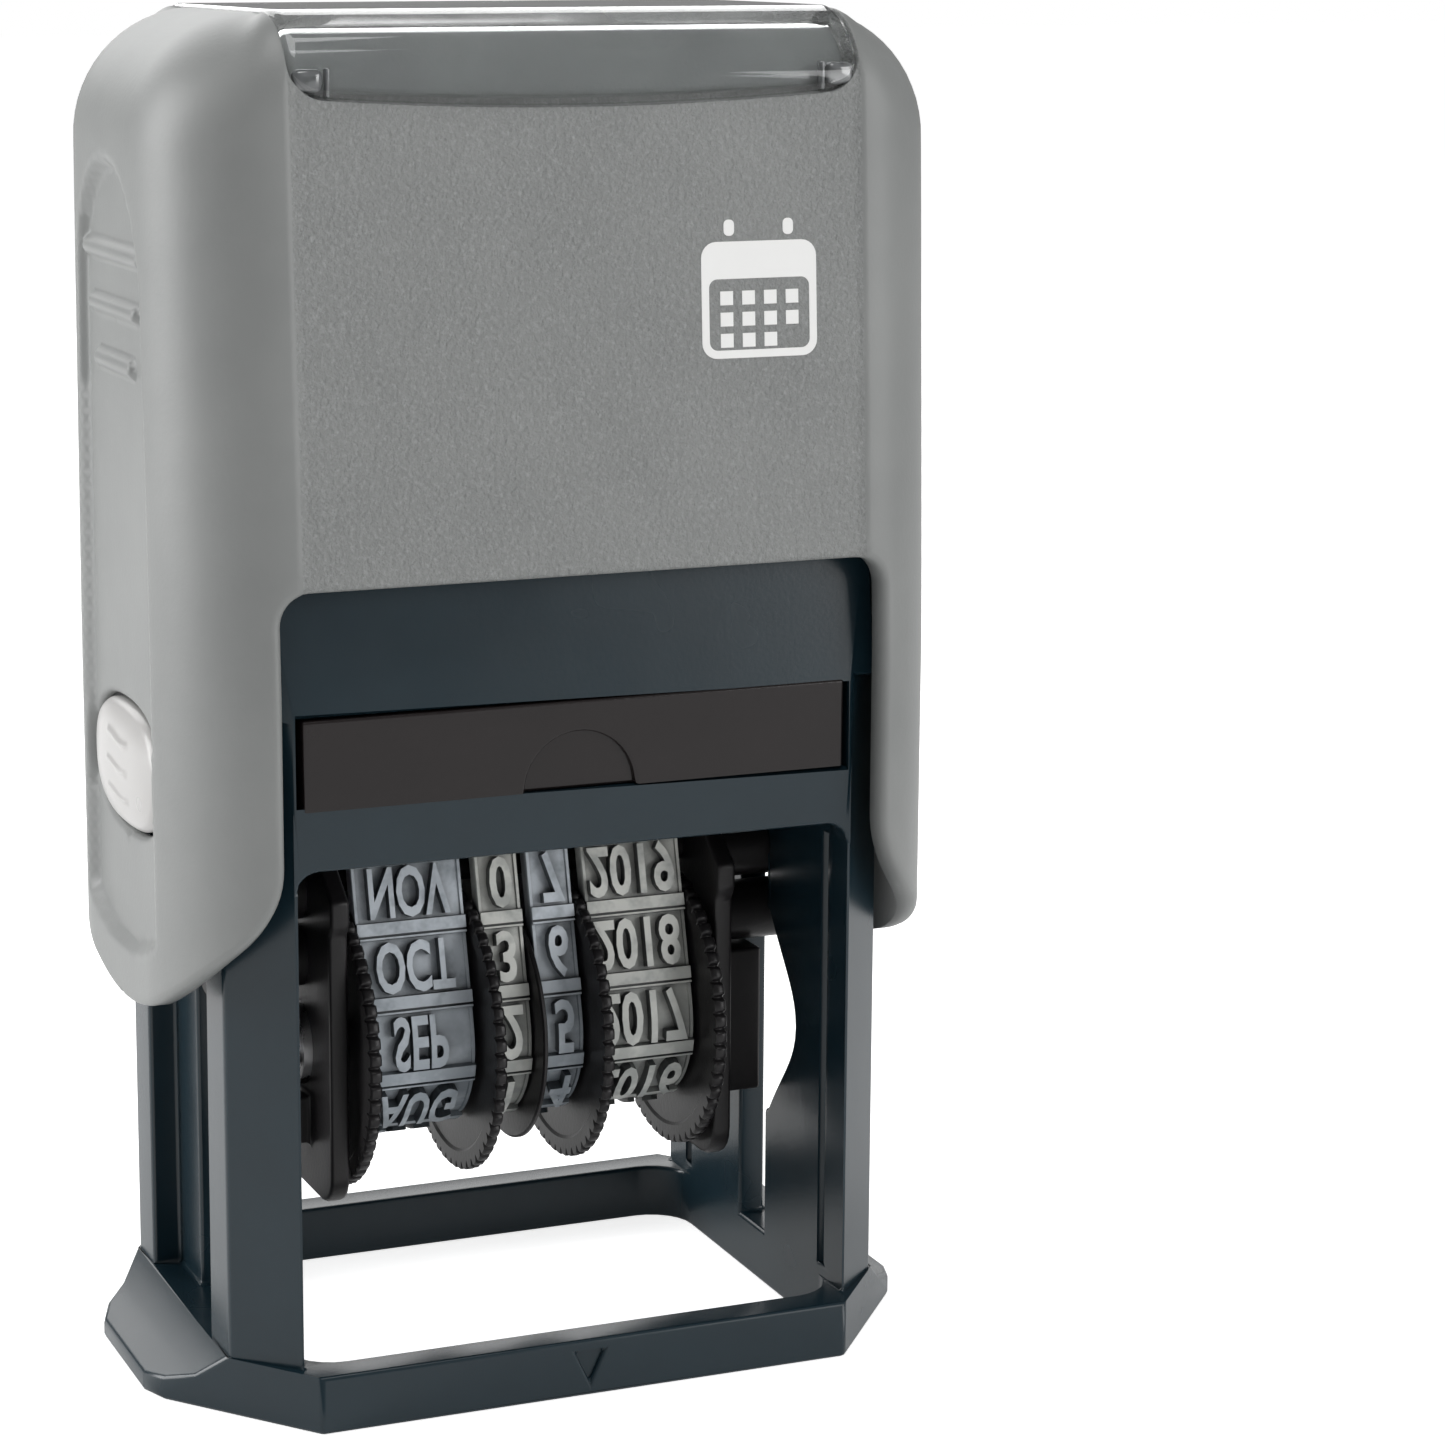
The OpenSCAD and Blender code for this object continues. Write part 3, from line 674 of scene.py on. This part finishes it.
def cover_mesh():
    """The whole cover, from its quarter and the quarter's three mirror images."""
    quarter, shell = quarter_shell()
    points, faces = joined([(quarter * np.array([sx, sy, 1]), shell) for sx in (1, -1) for sy in (1, -1)])
    mesh = raw_mesh("cover_shell", points, faces)
    mesh.validate()
    work = bmesh.new()
    work.from_mesh(mesh)
    bmesh.ops.remove_doubles(work, verts=work.verts, dist=2e-6)
    bmesh.ops.holes_fill(work, edges=[e for e in work.edges if e.is_boundary], sides=0)
    bmesh.ops.recalc_face_normals(work, faces=work.faces)
    work.to_mesh(mesh)
    work.free()
    return mesh


piece_from("cover_shell", cover_mesh(), "cover", GREY, ("cover",))


# ------------------------------------------------------------------ window and card

def window_foot(x):
    """Height at which the window starts, with its lower corners rounded."""
    flat_half = WINDOW_HALF - WINDOW_CORNER - 0.1
    reach = np.maximum(np.abs(x) - flat_half, 0)
    return window_edge(x) + WINDOW_CORNER - np.sqrt(np.maximum(WINDOW_CORNER ** 2 - reach ** 2, 0))


# The way over the top: the height run at which the roof starts, and the shares of the way that lie
# up the front and from there to the middle of the roof
BROW_RUN = COVER_TOP - BROW_R + BROW_R * math.pi / 2
FRONT_SHARE, ROOF_SHARE = 0.4, 0.1


def over_the_top(x, share, low, depth):
    """A point on the way from height low in front, over the roof, to the same height behind."""
    mirrored = share > 0.5
    u = np.where(mirrored, 1 - share, share)
    t = low + (BROW_RUN - low) * np.minimum(u / FRONT_SHARE, 1)
    p = cover_place(np.abs(x), t, depth)
    roof = np.clip((u - FRONT_SHARE) / ROOF_SHARE, 0, 1)
    p[:, 0] = x
    p[:, 1] *= np.where(mirrored, -1, 1) * (1 - roof)
    return p


def wrapped_sheet(half, step_in, outer, inner, rise=0.0):
    """A sheet that lies over the brow and the roof, between two depths, with softened edges."""
    fillet = 0.3
    ends = half - np.array([0, 0.08, 0.3, 0.7, 1.2, 1.8, 2.4, 3.0])
    xs = np.concatenate([-ends, np.linspace(-half + 3.6, half - 3.6, 34), ends[::-1]])
    rim = np.array([0, 0.004, 0.012, 0.03])
    shares = np.concatenate([rim, np.linspace(0.05, 0.95, 78), 1 - rim[::-1]])
    columns, rows = len(xs), len(shares)
    count = columns * rows
    x, u = (side.ravel() for side in np.meshgrid(xs, shares, indexing="ij"))
    from_end = np.minimum(u, 1 - u)
    low = window_foot(x) + step_in
    edge = np.minimum(from_end / FRONT_SHARE * (BROW_RUN - low), half - np.abs(x))
    depth = outer + rounded_off(edge, fillet) - rise * smooth_step(0.2, 0.45, from_end)
    top = over_the_top(x, u, low, depth)
    under = over_the_top(x, u, low, np.full(len(x), inner))
    faces = []
    for i in range(columns - 1):
        for j in range(rows - 1):
            a, b = i * rows + j, (i + 1) * rows + j
            faces += [(a, b, b + 1, a + 1), (count + a + 1, count + b + 1, count + b, count + a)]
    loop = ([i * rows for i in range(columns)] + [(columns - 1) * rows + j for j in range(1, rows)]
            + [i * rows + rows - 1 for i in range(columns - 2, -1, -1)] + list(range(rows - 2, 0, -1)))
    faces += [(b, a, count + a, count + b) for a, b in zip(loop, loop[1:] + loop[:1])]
    return list(map(tuple, np.concatenate([top, under]))), faces


def rounded_block(middle, size, radius, segments):
    """Points and faces of a box with rounded edges."""
    work = bmesh.new()
    bmesh.ops.create_cube(work, size=1.0)
    for v in work.verts:
        v.co = [m + c * s for m, c, s in zip(middle, v.co, size)]
    bmesh.ops.bevel(work, geom=list(work.edges), offset=radius, segments=segments,
                    profile=0.5, affect="EDGES")
    work.verts.index_update()
    points = [tuple(v.co) for v in work.verts]
    faces = [tuple(v.index for v in f.verts) for f in work.faces]
    work.free()
    return points, faces


def window_clips():
    """A snap hook behind each corner of the window, with a rib on its inner side."""
    hook_x, rib_x, hook_t, sink = 17.3, 16.1, 83.9, 0.5
    _, y, z = cover_place(np.array([hook_x]), np.array([hook_t]), np.array([sink]))[0]
    parts = []
    for sx in (1, -1):
        for sy in (1, -1):
            parts.append(rounded_block((sx * hook_x, sy * y, z), (1.8, 0.9, 1.4), 0.4, 4))
            parts.append(rounded_block((sx * rib_x, sy * y, z - 0.1), (0.26, 0.8, 1.7), 0.1, 2))
    return parts


WINDOW_GAP, WINDOW_BACK, CARD_INSET, CARD_FRONT, CARD_BACK = 0.12, 1.15, 0.5, 1.2, 1.46

window_cap = wrapped_sheet(WINDOW_HALF - WINDOW_GAP, WINDOW_GAP, 0.0, WINDOW_BACK, rise=0.2)
piece_from("index_window_cap", mesh_of("index_window_cap", *window_cap), "window",
           CLEAR, ("index_window",))
piece_from("index_window_hooks", mesh_of("index_window_hooks", *joined(window_clips())), "window",
           HOOK)
card = wrapped_sheet(WINDOW_HALF - CARD_INSET, CARD_INSET, CARD_FRONT, CARD_BACK)
piece_from("index_card_sheet", mesh_of("index_card_sheet", *card), body_of("index_card"),
           CARD, ("index_card",))


# ------------------------------------------------------------------ lock buttons

def button_point(u, v):
    """A point of the right button's face, from a square of -1..1 drawn into the oval."""
    face_x, dome, edge_fall = 26.15, 0.75, 0.3
    ridge_rise, ridge_gap, ridge_w, ridge_wave = 0.14, 1.8, 0.2, 0.16
    across, up = u * math.sqrt(1 - v * v / 2), v * math.sqrt(1 - u * u / 2)
    ring = min(1.0, math.hypot(across, up))
    oval_y, oval_z = oval(math.atan2(across, up))
    y, z = BUTTON_LEN / 2 * ring * oval_y, BUTTON_H / 2 * ring * oval_z
    x = face_x - dome * ring ** 3.2 - edge_fall * max(0.0, (ring - 0.9) / 0.1) ** 2
    inner = 1 - float(smooth_step(0.62, 0.8, ring))
    short = 1 - float(smooth_step(1.9, 2.7, abs(y + 0.3)))
    for k in (-1, 0, 1):
        off = (z - ridge_gap * k - ridge_wave * math.sin(y)) / ridge_w
        x += ridge_rise * inner * short * math.exp(-off ** 2)
    return x, y, BUTTON_Z + z


def fine_button(side_name, side):
    """An oval push button with three short ridges, whose edge runs back into the cover."""
    steps, root_x = 72, 24.0
    ticks = range(steps + 1)
    points = [button_point(2 * i / steps - 1, 2 * j / steps - 1) for i in ticks for j in ticks]
    points = [(side * x, y, z) for x, y, z in points]
    where = {(i, j): i * (steps + 1) + j for i in ticks for j in ticks}
    faces = [(where[i, j], where[i + 1, j], where[i + 1, j + 1], where[i, j + 1])
             for i in range(steps) for j in range(steps)]
    rim = ([where[i, 0] for i in range(steps)] + [where[steps, j] for j in range(steps)]
           + [where[i, steps] for i in range(steps, 0, -1)] + [where[0, j] for j in range(steps, 0, -1)])
    base, count = len(points), len(rim)
    points += [(side * root_x, points[k][1], points[k][2]) for k in rim]
    for k in range(count):
        m = (k + 1) % count
        faces.append((rim[k], rim[m], base + m, base + k))
    faces.append(tuple(base + k for k in range(count)))
    name = "lock_button_" + side_name
    piece_from(name + "_cap", mesh_of(name + "_cap", points, faces), "button_" + side_name,
               WHITE, (name,))


fine_button("left", -1)
fine_button("right", 1)


# ------------------------------------------------------------------ date bands

# A belt runs over the platen's narrow edge, down two slopes and round the drum; the runs below
# are from the middle of its top, and the first row's middle lies a little behind it
GAP_Z = BELT_TOP - EDGE_R - SHAFT_Z
REACH = math.hypot(EDGE_Y, GAP_Z)
LEAN = math.atan2(GAP_Z, -EDGE_Y) + math.acos((BELT_R - EDGE_R) / REACH)
EDGE_RUN = EDGE_R * (LEAN - math.pi / 2)
SLOPE_RUN = math.sqrt(REACH ** 2 - (BELT_R - EDGE_R) ** 2)
HALF_BELT = EDGE_Y + EDGE_RUN + SLOPE_RUN + BELT_R * (1.5 * math.pi - LEAN)
PITCH = 2 * HALF_BELT / ROWS
FIRST_ROW = -0.45


def belt(s, height):
    """Point (y, z) at a run s along a belt, from mid top down its front, and a height over it."""
    s = (np.asarray(s, float) + HALF_BELT) % (2 * HALF_BELT) - HALF_BELT
    u = np.abs(s)
    arc = u - EDGE_Y
    slope = arc - EDGE_RUN
    foot = slope - SLOPE_RUN
    a = math.pi / 2 + np.clip(arc, 0, EDGE_RUN) / EDGE_R + np.maximum(foot, 0) / BELT_R
    low = foot > 0
    radius = np.where(low, BELT_R, EDGE_R) + height
    y = np.where(low, 0, -EDGE_Y) + radius * np.cos(a)
    z = np.where(low, SHAFT_Z, BELT_TOP - EDGE_R) + radius * np.sin(a)
    y = y + np.where(arc < 0, EDGE_Y - u, 0)
    along = np.clip(slope, 0, SLOPE_RUN) * ~low
    y = y - np.sin(a) * along
    z = z + np.cos(a) * along
    return np.where(s < 0, -y, y), z


# Along the belt, the bar after each row as (run from its middle, height, cleanness): it has a narrow
# groove in its top. Cleanness is how little ink and painted shade darken a face; the groove is painted dark.
# Across the belt, its rim as (distance from the edge, height); below 0 is a chamfer.
BAR_HALF, BAR_H, GROOVE = 0.6, 0.38, 0.2
BAR = ((-BAR_HALF, 0, 0.75), (0.06 - BAR_HALF, BAR_H, 0.3), (0.26, BAR_H, 1.0),
       (0.3, BAR_H - GROOVE, 0.1), (0.38, BAR_H - GROOVE, 0.0), (0.42, BAR_H, 0.1),
       (BAR_HALF - 0.06, BAR_H, 0.9), (BAR_HALF, 0, 0.3))
RIM = ((0, -0.06), (0.03, 0.12), (0.22, 0.12), (0.27, 0))
# How free of ink and painted shade the fields between bars and the belt's sides are.
FIELD_CLEAN_UNSHADED, SIDE_CLEAN_UNSHADED, FIELD_STEPS = 0.75, 0.45, 9


def belt_parts(x0, x1):
    """The belt with its raised bars between the rows; returns points, faces and how free each face is of ink
    and painted shade.
    """
    side = [(x0 + away, height) for away, height in RIM] + [(x1 - away, height) for away, height in RIM[::-1]]
    lines = []
    for k in range(ROWS):
        middle = FIRST_ROW + PITCH * (k + 0.5)
        lines += [(middle + off, height, share) for off, height, share in BAR]
        start, end = middle + BAR_HALF, middle + PITCH - BAR_HALF
        lines += [(start + (end - start) * i / FIELD_STEPS, 0, FIELD_CLEAN_UNSHADED) for i in range(1, FIELD_STEPS)]
    points, faces, clean_unshaded = [], [], []
    across = len(side) + 2
    for s, height, _ in lines:
        for x, h in side:
            y, z = belt(s, max(height, h) if h >= 0 else height + h)
            points.append((x, float(y), float(z)))
        y, z = belt(s, -BELT_T)
        points += [(x1, float(y), float(z)), (x0, float(y), float(z))]
    count = len(lines)
    for i in range(count):
        j = (i + 1) % count
        for c in range(across):
            d = (c + 1) % across
            faces.append((i * across + c, i * across + d, j * across + d, j * across + c))
            # The belt's sides are darkened with ink and painted shade.
            clean_unshaded.append(lines[j][2] if c < len(side) - 1 else SIDE_CLEAN_UNSHADED)
    return points, faces, clean_unshaded


def flat_text(body):
    """Mesh of a word in the built-in font, half a unit thick each way."""
    data = bpy.data.curves.new("word", "FONT")
    data.body = body
    data.size = 1.0
    data.resolution_u = 3
    data.offset = 0.024
    data.extrude = 0.5
    made = bpy.data.objects.new("word", data)
    bpy.context.collection.objects.link(made)
    bpy.context.view_layer.update()
    mesh = bpy.data.meshes.new_from_object(made.evaluated_get(bpy.context.evaluated_depsgraph_get()))
    bpy.data.objects.remove(made)
    bpy.data.curves.remove(data)
    return mesh


def measure_text(body):
    """Lowest and highest corners of a word at size 1."""
    mesh = flat_text(body)
    co = np.array([v.co for v in mesh.vertices])
    bpy.data.meshes.remove(mesh)
    return co.min(0), co.max(0)


CAP_LOW, CAP_HIGH = (float(corner[1]) for corner in measure_text("H"))


def word_parts(body, middle_x, width_scale, row):
    """A raised word bent round the belt, mirrored as it prints; its raised face counts as clean, while its
    walls take ink and painted shade.
    """
    mesh = flat_text(body)
    height_scale = LETTER_H / (CAP_HIGH - CAP_LOW)
    root = -0.15
    work = bmesh.new()
    work.from_mesh(mesh)
    bpy.data.meshes.remove(mesh)
    bmesh.ops.remove_doubles(work, verts=work.verts, dist=1e-5)
    for cut in np.linspace(CAP_LOW, CAP_HIGH, 6)[1:-1]:
        bmesh.ops.bisect_plane(work, geom=list(work.verts) + list(work.edges) + list(work.faces),
                               plane_co=(0, float(cut), 0), plane_no=(0, 1, 0))
    work.verts.index_update()
    co = np.array([v.co for v in work.verts])
    middle_u = (co[:, 0].min() + co[:, 0].max()) / 2
    s = FIRST_ROW + PITCH * row + (co[:, 1] - (CAP_LOW + CAP_HIGH) / 2) * height_scale
    y, z = belt(s, np.where(co[:, 2] > 0, RELIEF, root))
    x = middle_x + (co[:, 0] - middle_u) * width_scale
    points = list(zip(x, y, z))
    faces, clean_unshaded = [], []
    for f in work.faces:
        faces.append(tuple(v.index for v in f.verts))
        # Letter walls get no cleanness, so ink and painted shade darken them.
        top = all(co[v.index, 2] > 0 for v in f.verts)
        clean_unshaded.append(1.0 if top else 0.0)
    work.free()
    return points, faces, clean_unshaded


def band(name, x0, x1, middle_x, words, width, material):
    """One date band: a belt and its raised words as one piece; width is the third word's."""
    low, high = measure_text(words[2])
    scale = width / float(high[0] - low[0])
    parts = [belt_parts(x0, x1)]
    for row, word in enumerate(words):
        if word:
            parts.append(word_parts(word, middle_x, scale, row))
    points, faces = joined([(p, f) for p, f, _ in parts])
    mesh = raw_mesh(name, points, faces)
    # Each face's cleanness drives the painted ink and shade of the rubber.
    shade = mesh.attributes.new("relief", "FLOAT", "FACE")
    shade.data.foreach_set("value", [share for _, _, clean_unshaded in parts for share in clean_unshaded])
    work = bmesh.new()
    work.from_mesh(mesh)
    bmesh.ops.recalc_face_normals(work, faces=work.faces)
    work.to_mesh(mesh)
    work.free()
    piece_from(name + "_rubber", mesh, body_of(name), material, (name,), smooth=False)


# The words of each band, from the top of the belt down its front
MONTHS = ["JAN", "DEC", "NOV", "OCT", "SEP", "AUG", "JUL", "JUN", "MAY", "APR", "MAR", "FEB"]
TENS = ["2", "1", "0", "3", "2", "1", "0", "3", "2", "1", "0", "3"]
UNITS = ["9", "8", "7", "6", "5", "4", "3", "2", "1", "0", "", ""]
YEARS = [str(y) for y in range(2021, 2013, -1)] + [str(y) for y in range(2025, 2021, -1)]

band("month_band", -11.5, -4.0, -7.85, MONTHS, 5.5, BLUE_BAND)
band("tens_band", -3.0, -0.05, -1.5, TENS, 1.55, IVORY_BAND)
band("units_band", 0.6, 3.6, 2.15, UNITS, 1.5, BLUE_BAND)
band("year_band", 4.5, 11.5, 7.75, YEARS, 6.1, IVORY_BAND)


# ------------------------------------------------------------------ thumb wheels

def lathed(profile, teeth, count):
    """Points and faces of a closed profile of (radius, x, toothed) turned round the wheel shaft."""
    points, faces = [], []
    for i in range(count):
        a = 2 * math.pi * i / count
        share = (i * teeth / count) % 1.0
        gap = math.exp(-((share - 0.5) / 0.13) ** 4)
        crown = (2 * abs(share - 0.5) - 1) ** 2
        for radius, x, toothed in profile:
            r = radius - (TOOTH_DEPTH * gap + TOOTH_CROWN * crown) * toothed
            points.append((x, -r * math.sin(a), SHAFT_Z + r * math.cos(a)))
    n = len(profile)
    for i in range(count):
        j = (i + 1) % count
        for c in range(n):
            d = (c + 1) % n
            faces.append((i * n + c, i * n + d, j * n + d, j * n + c))
    return points, faces


def thumb_wheel(name, disc_x0, disc_x1, drum_x):
    """A knurled disc with its drum, which runs from the disc to drum_x; both faces sink to a thinner web."""
    way = 1 if drum_x > disc_x1 else -1
    outer, inner = (disc_x0, disc_x1)[::way]
    chamfer, slope, fillet = 0.12, 0.2, 0.25
    profile = [
        (BORE_R, outer + way * WEB_SINK, 0), (WEB_R, outer + way * WEB_SINK, 0), (WEB_R + slope, outer, 0),
        (DISC_R - chamfer, outer, 1), (DISC_R, outer + way * chamfer, 1),
        (DISC_R, inner - way * chamfer, 1), (DISC_R - chamfer, inner, 1),
        (WEB_R + slope, inner, 0), (WEB_R, inner - way * WEB_SINK, 0),
        (DRUM_R + fillet, inner - way * WEB_SINK, 0), (DRUM_R, inner, 0),
        (DRUM_R, drum_x, 0), (BORE_R, drum_x, 0),
    ]
    mesh = mesh_of(name + "_knurled", *lathed(profile, TEETH, TEETH * TOOTH_STEPS))
    made = piece_from(name + "_knurled", mesh, body_of(name), BLACK, (name,))
    for polygon in made.data.polygons:
        polygon.use_smooth = abs(polygon.normal.x) < 0.5


for wheel in (("month_wheel", -12.4, -11.6, -4.0), ("tens_wheel", -3.8, -3.1, -0.05),
              ("units_wheel", 3.7, 4.4, 0.5), ("year_wheel", 11.6, 12.4, 4.5)):
    thumb_wheel(*wheel)

DIVIDER_X0, DIVIDER_X1, DIVIDER_BEVEL_X, DIVIDER_BEVEL_R = 0.05, 0.4, 0.09, 0.15
divider = lathed([
    (BORE_R, DIVIDER_X0, 0), (DIVIDER_R - DIVIDER_BEVEL_R, DIVIDER_X0, 0),
    (DIVIDER_R, DIVIDER_X0 + DIVIDER_BEVEL_X, 0), (DIVIDER_R, DIVIDER_X1 - DIVIDER_BEVEL_X, 0),
    (DIVIDER_R - DIVIDER_BEVEL_R, DIVIDER_X1, 0), (BORE_R, DIVIDER_X1, 0),
], 0, 120)
piece_from("divider_disc_turned", mesh_of("divider_disc_turned", *divider), body_of("divider_disc"),
           BLACK, ("divider_disc",), smooth=False)


# ------------------------------------------------------------------ springs

def spring(name, x):
    """A compression spring as a round wire along a helix, closed at both ends."""
    low, high, coil_r, wire, turns = 47.5, 85.0, 2.9, 0.35, 11.0
    sides, rings = 10, 360
    points, faces = [], []
    for i in range(rings + 1):
        share = i / rings
        a = 2 * math.pi * turns * share
        ease = float(smooth_step(0.0, 1.0, share)) * 0.35 + share * 0.65
        z = low + wire + (high - low - 2 * wire) * ease
        for k in range(sides):
            b = 2 * math.pi * k / sides
            r = coil_r + wire * math.cos(b)
            points.append((x + r * math.cos(a), r * math.sin(a), z + wire * math.sin(b)))
    for i in range(rings):
        for k in range(sides):
            m = (k + 1) % sides
            faces.append((i * sides + k, i * sides + m, (i + 1) * sides + m, (i + 1) * sides + k))
    faces.append(tuple(range(sides)))
    faces.append(tuple(rings * sides + k for k in range(sides - 1, -1, -1)))
    mesh = mesh_of(name + "_wire", points, faces)
    made = piece_from(name + "_wire", mesh, "frame", STEEL, (name,))
    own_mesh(made)


spring("return_spring_left", -11.0)
spring("return_spring_right", 11.0)


# ------------------------------------------------------------------ moulded CAD parts

refined("frame", "frame", BLUE, 0.28)
refined("pad_drawer", "pad", DRAWER, 0.22)
for side in ("left", "right"):
    refined("carriage_plate_" + side, "carriage", BLACK, 0.25)
    refined("yoke_" + side, "cover", INNER, 0.2)
for name, material in (("ink_pad", FELT), ("platen", BLACK), ("tie_bar", BLACK), ("wheel_shaft", STEEL),
                       ("shaft_clip_left", STEEL), ("shaft_clip_right", STEEL), ("axle_journal_left", BLACK),
                       ("axle_journal_right", BLACK), ("cam_pin_left", BLACK), ("cam_pin_right", BLACK),
                       ("spring_guide_left", INNER), ("spring_guide_right", INNER)):
    plain = frame["nodes"][name]
    plain.data.materials.clear()
    plain.data.materials.append(material)


# ------------------------------------------------------------------ printed pictogram

def print_patch(x0, x1, z0, z1, radius=0.0):
    """Outline of a printed rectangle with square or rounded corners, in x and height."""
    if radius <= 0:
        return [(x0, z0), (x1, z0), (x1, z1), (x0, z1)]
    out = []
    for cx, cz, start in ((x1 - radius, z0 + radius, -90), (x1 - radius, z1 - radius, 0),
                          (x0 + radius, z1 - radius, 90), (x0 + radius, z0 + radius, 180)):
        for angle in (math.radians(start + 15 * i) for i in range(7)):
            out.append((cx + radius * math.cos(angle), cz + radius * math.sin(angle)))
    return out


PRINT_LIFT, PRINT_ROOT = 0.03, -0.05


def on_panel(points, lift):
    """The points of an outline on the cover's front panel, that much above its surface."""
    x, z = np.array(points, float).T
    return [tuple(p) for p in cover_place(x, z, np.full(len(x), PANEL_SINK - lift))]


def printed(outline):
    """A solid patch of print."""
    n = len(outline)
    faces = [tuple(range(n)), tuple(range(2 * n - 1, n - 1, -1))]
    faces += [(i, n + i, n + (i + 1) % n, (i + 1) % n) for i in range(n)]
    return on_panel(outline, PRINT_LIFT) + on_panel(outline, PRINT_ROOT), faces


def printed_ring(outer, inner):
    """A patch of print with a hole; both outlines have the same number of points."""
    points = [p for lift in (PRINT_LIFT, PRINT_ROOT) for line in (outer, inner) for p in on_panel(line, lift)]
    n = len(outer)
    faces = []
    for i in range(n):
        j = (i + 1) % n
        faces += [(i, j, n + j, n + i), (2 * n + j, 2 * n + i, 3 * n + i, 3 * n + j),
                  (j, i, 2 * n + i, 2 * n + j), (n + i, n + j, 3 * n + j, 3 * n + i)]
    return points, faces


def pictogram():
    """A calendar page: a frame, a head bar with two rings, and a block of days, the last one left out."""
    left, right, low, high = 7.6, 15.4, 66.4, 73.6
    line, head = 0.5, 2.3
    ring_in, ring_half, ring_low, ring_high = 1.9, 0.35, 0.35, 1.35
    day, gap_x, gap_z, first_row = 0.86, 0.62, 0.45, 3.05
    parts = [printed_ring(print_patch(left, right, low, high, 1.0),
                          print_patch(left + line, right - line, low + line, high - head, 0.55))]
    for x in (left + ring_in, right - ring_in):
        ring = print_patch(x - ring_half, x + ring_half, high + ring_low, high + ring_high, 0.3)
        parts.append(printed(ring))
    start = (left + right) / 2 - (4 * day + 3 * gap_x) / 2
    for row, column in [(row, column) for row in range(3) for column in range(4)][:-1]:
        x = start + column * (day + gap_x)
        z = high - first_row - day - row * (day + gap_z)
        parts.append(printed(print_patch(x, x + day, z, z + day)))
    return joined(parts)


piece_from("calendar_pictogram", mesh_of("calendar_pictogram", *pictogram()), "cover",
           PRINT, smooth=False)


# ------------------------------------------------------------------ stage

def soft_light(name, place, aim, size, watts):
    """A rectangular area light at a place in metres, turned towards aim."""
    data = bpy.data.lights.new(name, "AREA")
    data.shape = "RECTANGLE"
    data.size, data.size_y = size
    data.energy = watts
    lamp = bpy.data.objects.new(name, data)
    bpy.context.collection.objects.link(lamp)
    lamp.location = place
    x, y, z = np.array(aim) - np.array(place)
    lamp.rotation_euler = (math.pi / 2 + math.atan2(z, math.hypot(x, y)), 0, math.atan2(y, x) - math.pi / 2)


# How bright the floor is to the camera and to the object, and the backdrop to the object
SEEN_GLOW, FLOOR_GLOW, ROOM_LIGHT = 0.80, 0.22, 0.24


def make_world():
    """A white backdrop whose light on the object is softer than it looks."""
    world = bpy.data.worlds.new("studio")
    bpy.context.scene.world = world
    world.use_nodes = True
    tree = world.node_tree
    seen = tree.nodes.new("ShaderNodeLightPath").outputs["Is Camera Ray"]
    strength = ramp(tree, seen, 0, 1, ROOM_LIGHT, 1.0)
    feed(tree.nodes["Background"], {"Color": (1, 1, 1, 1), "Strength": strength})


def make_floor():
    half_m = 3.0
    corners = [(-half_m, -half_m, 0), (half_m, -half_m, 0), (half_m, half_m, 0), (-half_m, half_m, 0)]
    floor_mesh = bpy.data.meshes.new("floor")
    floor_mesh.from_pydata(corners, [], [(0, 1, 2, 3)])
    floor = bpy.data.objects.new("floor", floor_mesh)
    material, tree, shader = new_material("floor_pale")
    tone = mix_colour(tree, noise(tree, 3.0), (0.86, 0.86, 0.86), (0.88, 0.88, 0.88))
    seen = tree.nodes.new("ShaderNodeLightPath").outputs["Is Camera Ray"]
    feed(shader, {
        "Base Color": tone,
        "Roughness": 0.9,
        "Emission Color": (1, 1, 1, 1),
        "Emission Strength": ramp(tree, seen, 0, 1, FLOOR_GLOW, SEEN_GLOW),
    })
    floor_mesh.materials.append(material)
    bpy.context.collection.objects.link(floor)


def make_lights():
    soft_light("left_softbox", (-0.55, 0.28, 0.20), (0, 0, 0.05), (0.30, 0.45), 3.2)
    soft_light("top_softbox", (-0.05, -0.12, 0.60), (0, 0, 0.05), (0.35, 0.35), 1.5)
    soft_light("front_softbox", (0.54, -0.58, 0.18), (0, 0, 0.05), (0.45, 0.5), 2.9)
    soft_light("back_softbox", (0.02, 0.60, 0.40), (0, 0, 0.08), (0.7, 0.4), 2.2)


def make_camera():
    """The camera stands in front, to the left and a little above; its shift frames the stamp to the left."""
    data = bpy.data.cameras.new("camera")
    data.lens = 93.412
    data.sensor_width = 36.0
    data.shift_x = 0.0973
    data.shift_y = -0.07
    data.clip_start = 0.01
    camera = bpy.data.objects.new("camera", data)
    bpy.context.collection.objects.link(camera)
    camera.location = (-0.084148, -0.227948, 0.092636)
    camera.rotation_euler = (math.radians(79.525), 0, math.radians(-21.546))
    bpy.context.scene.camera = camera


make_world()
make_floor()
make_lights()
make_camera()
bpy.context.scene.view_settings.view_transform = "Standard"
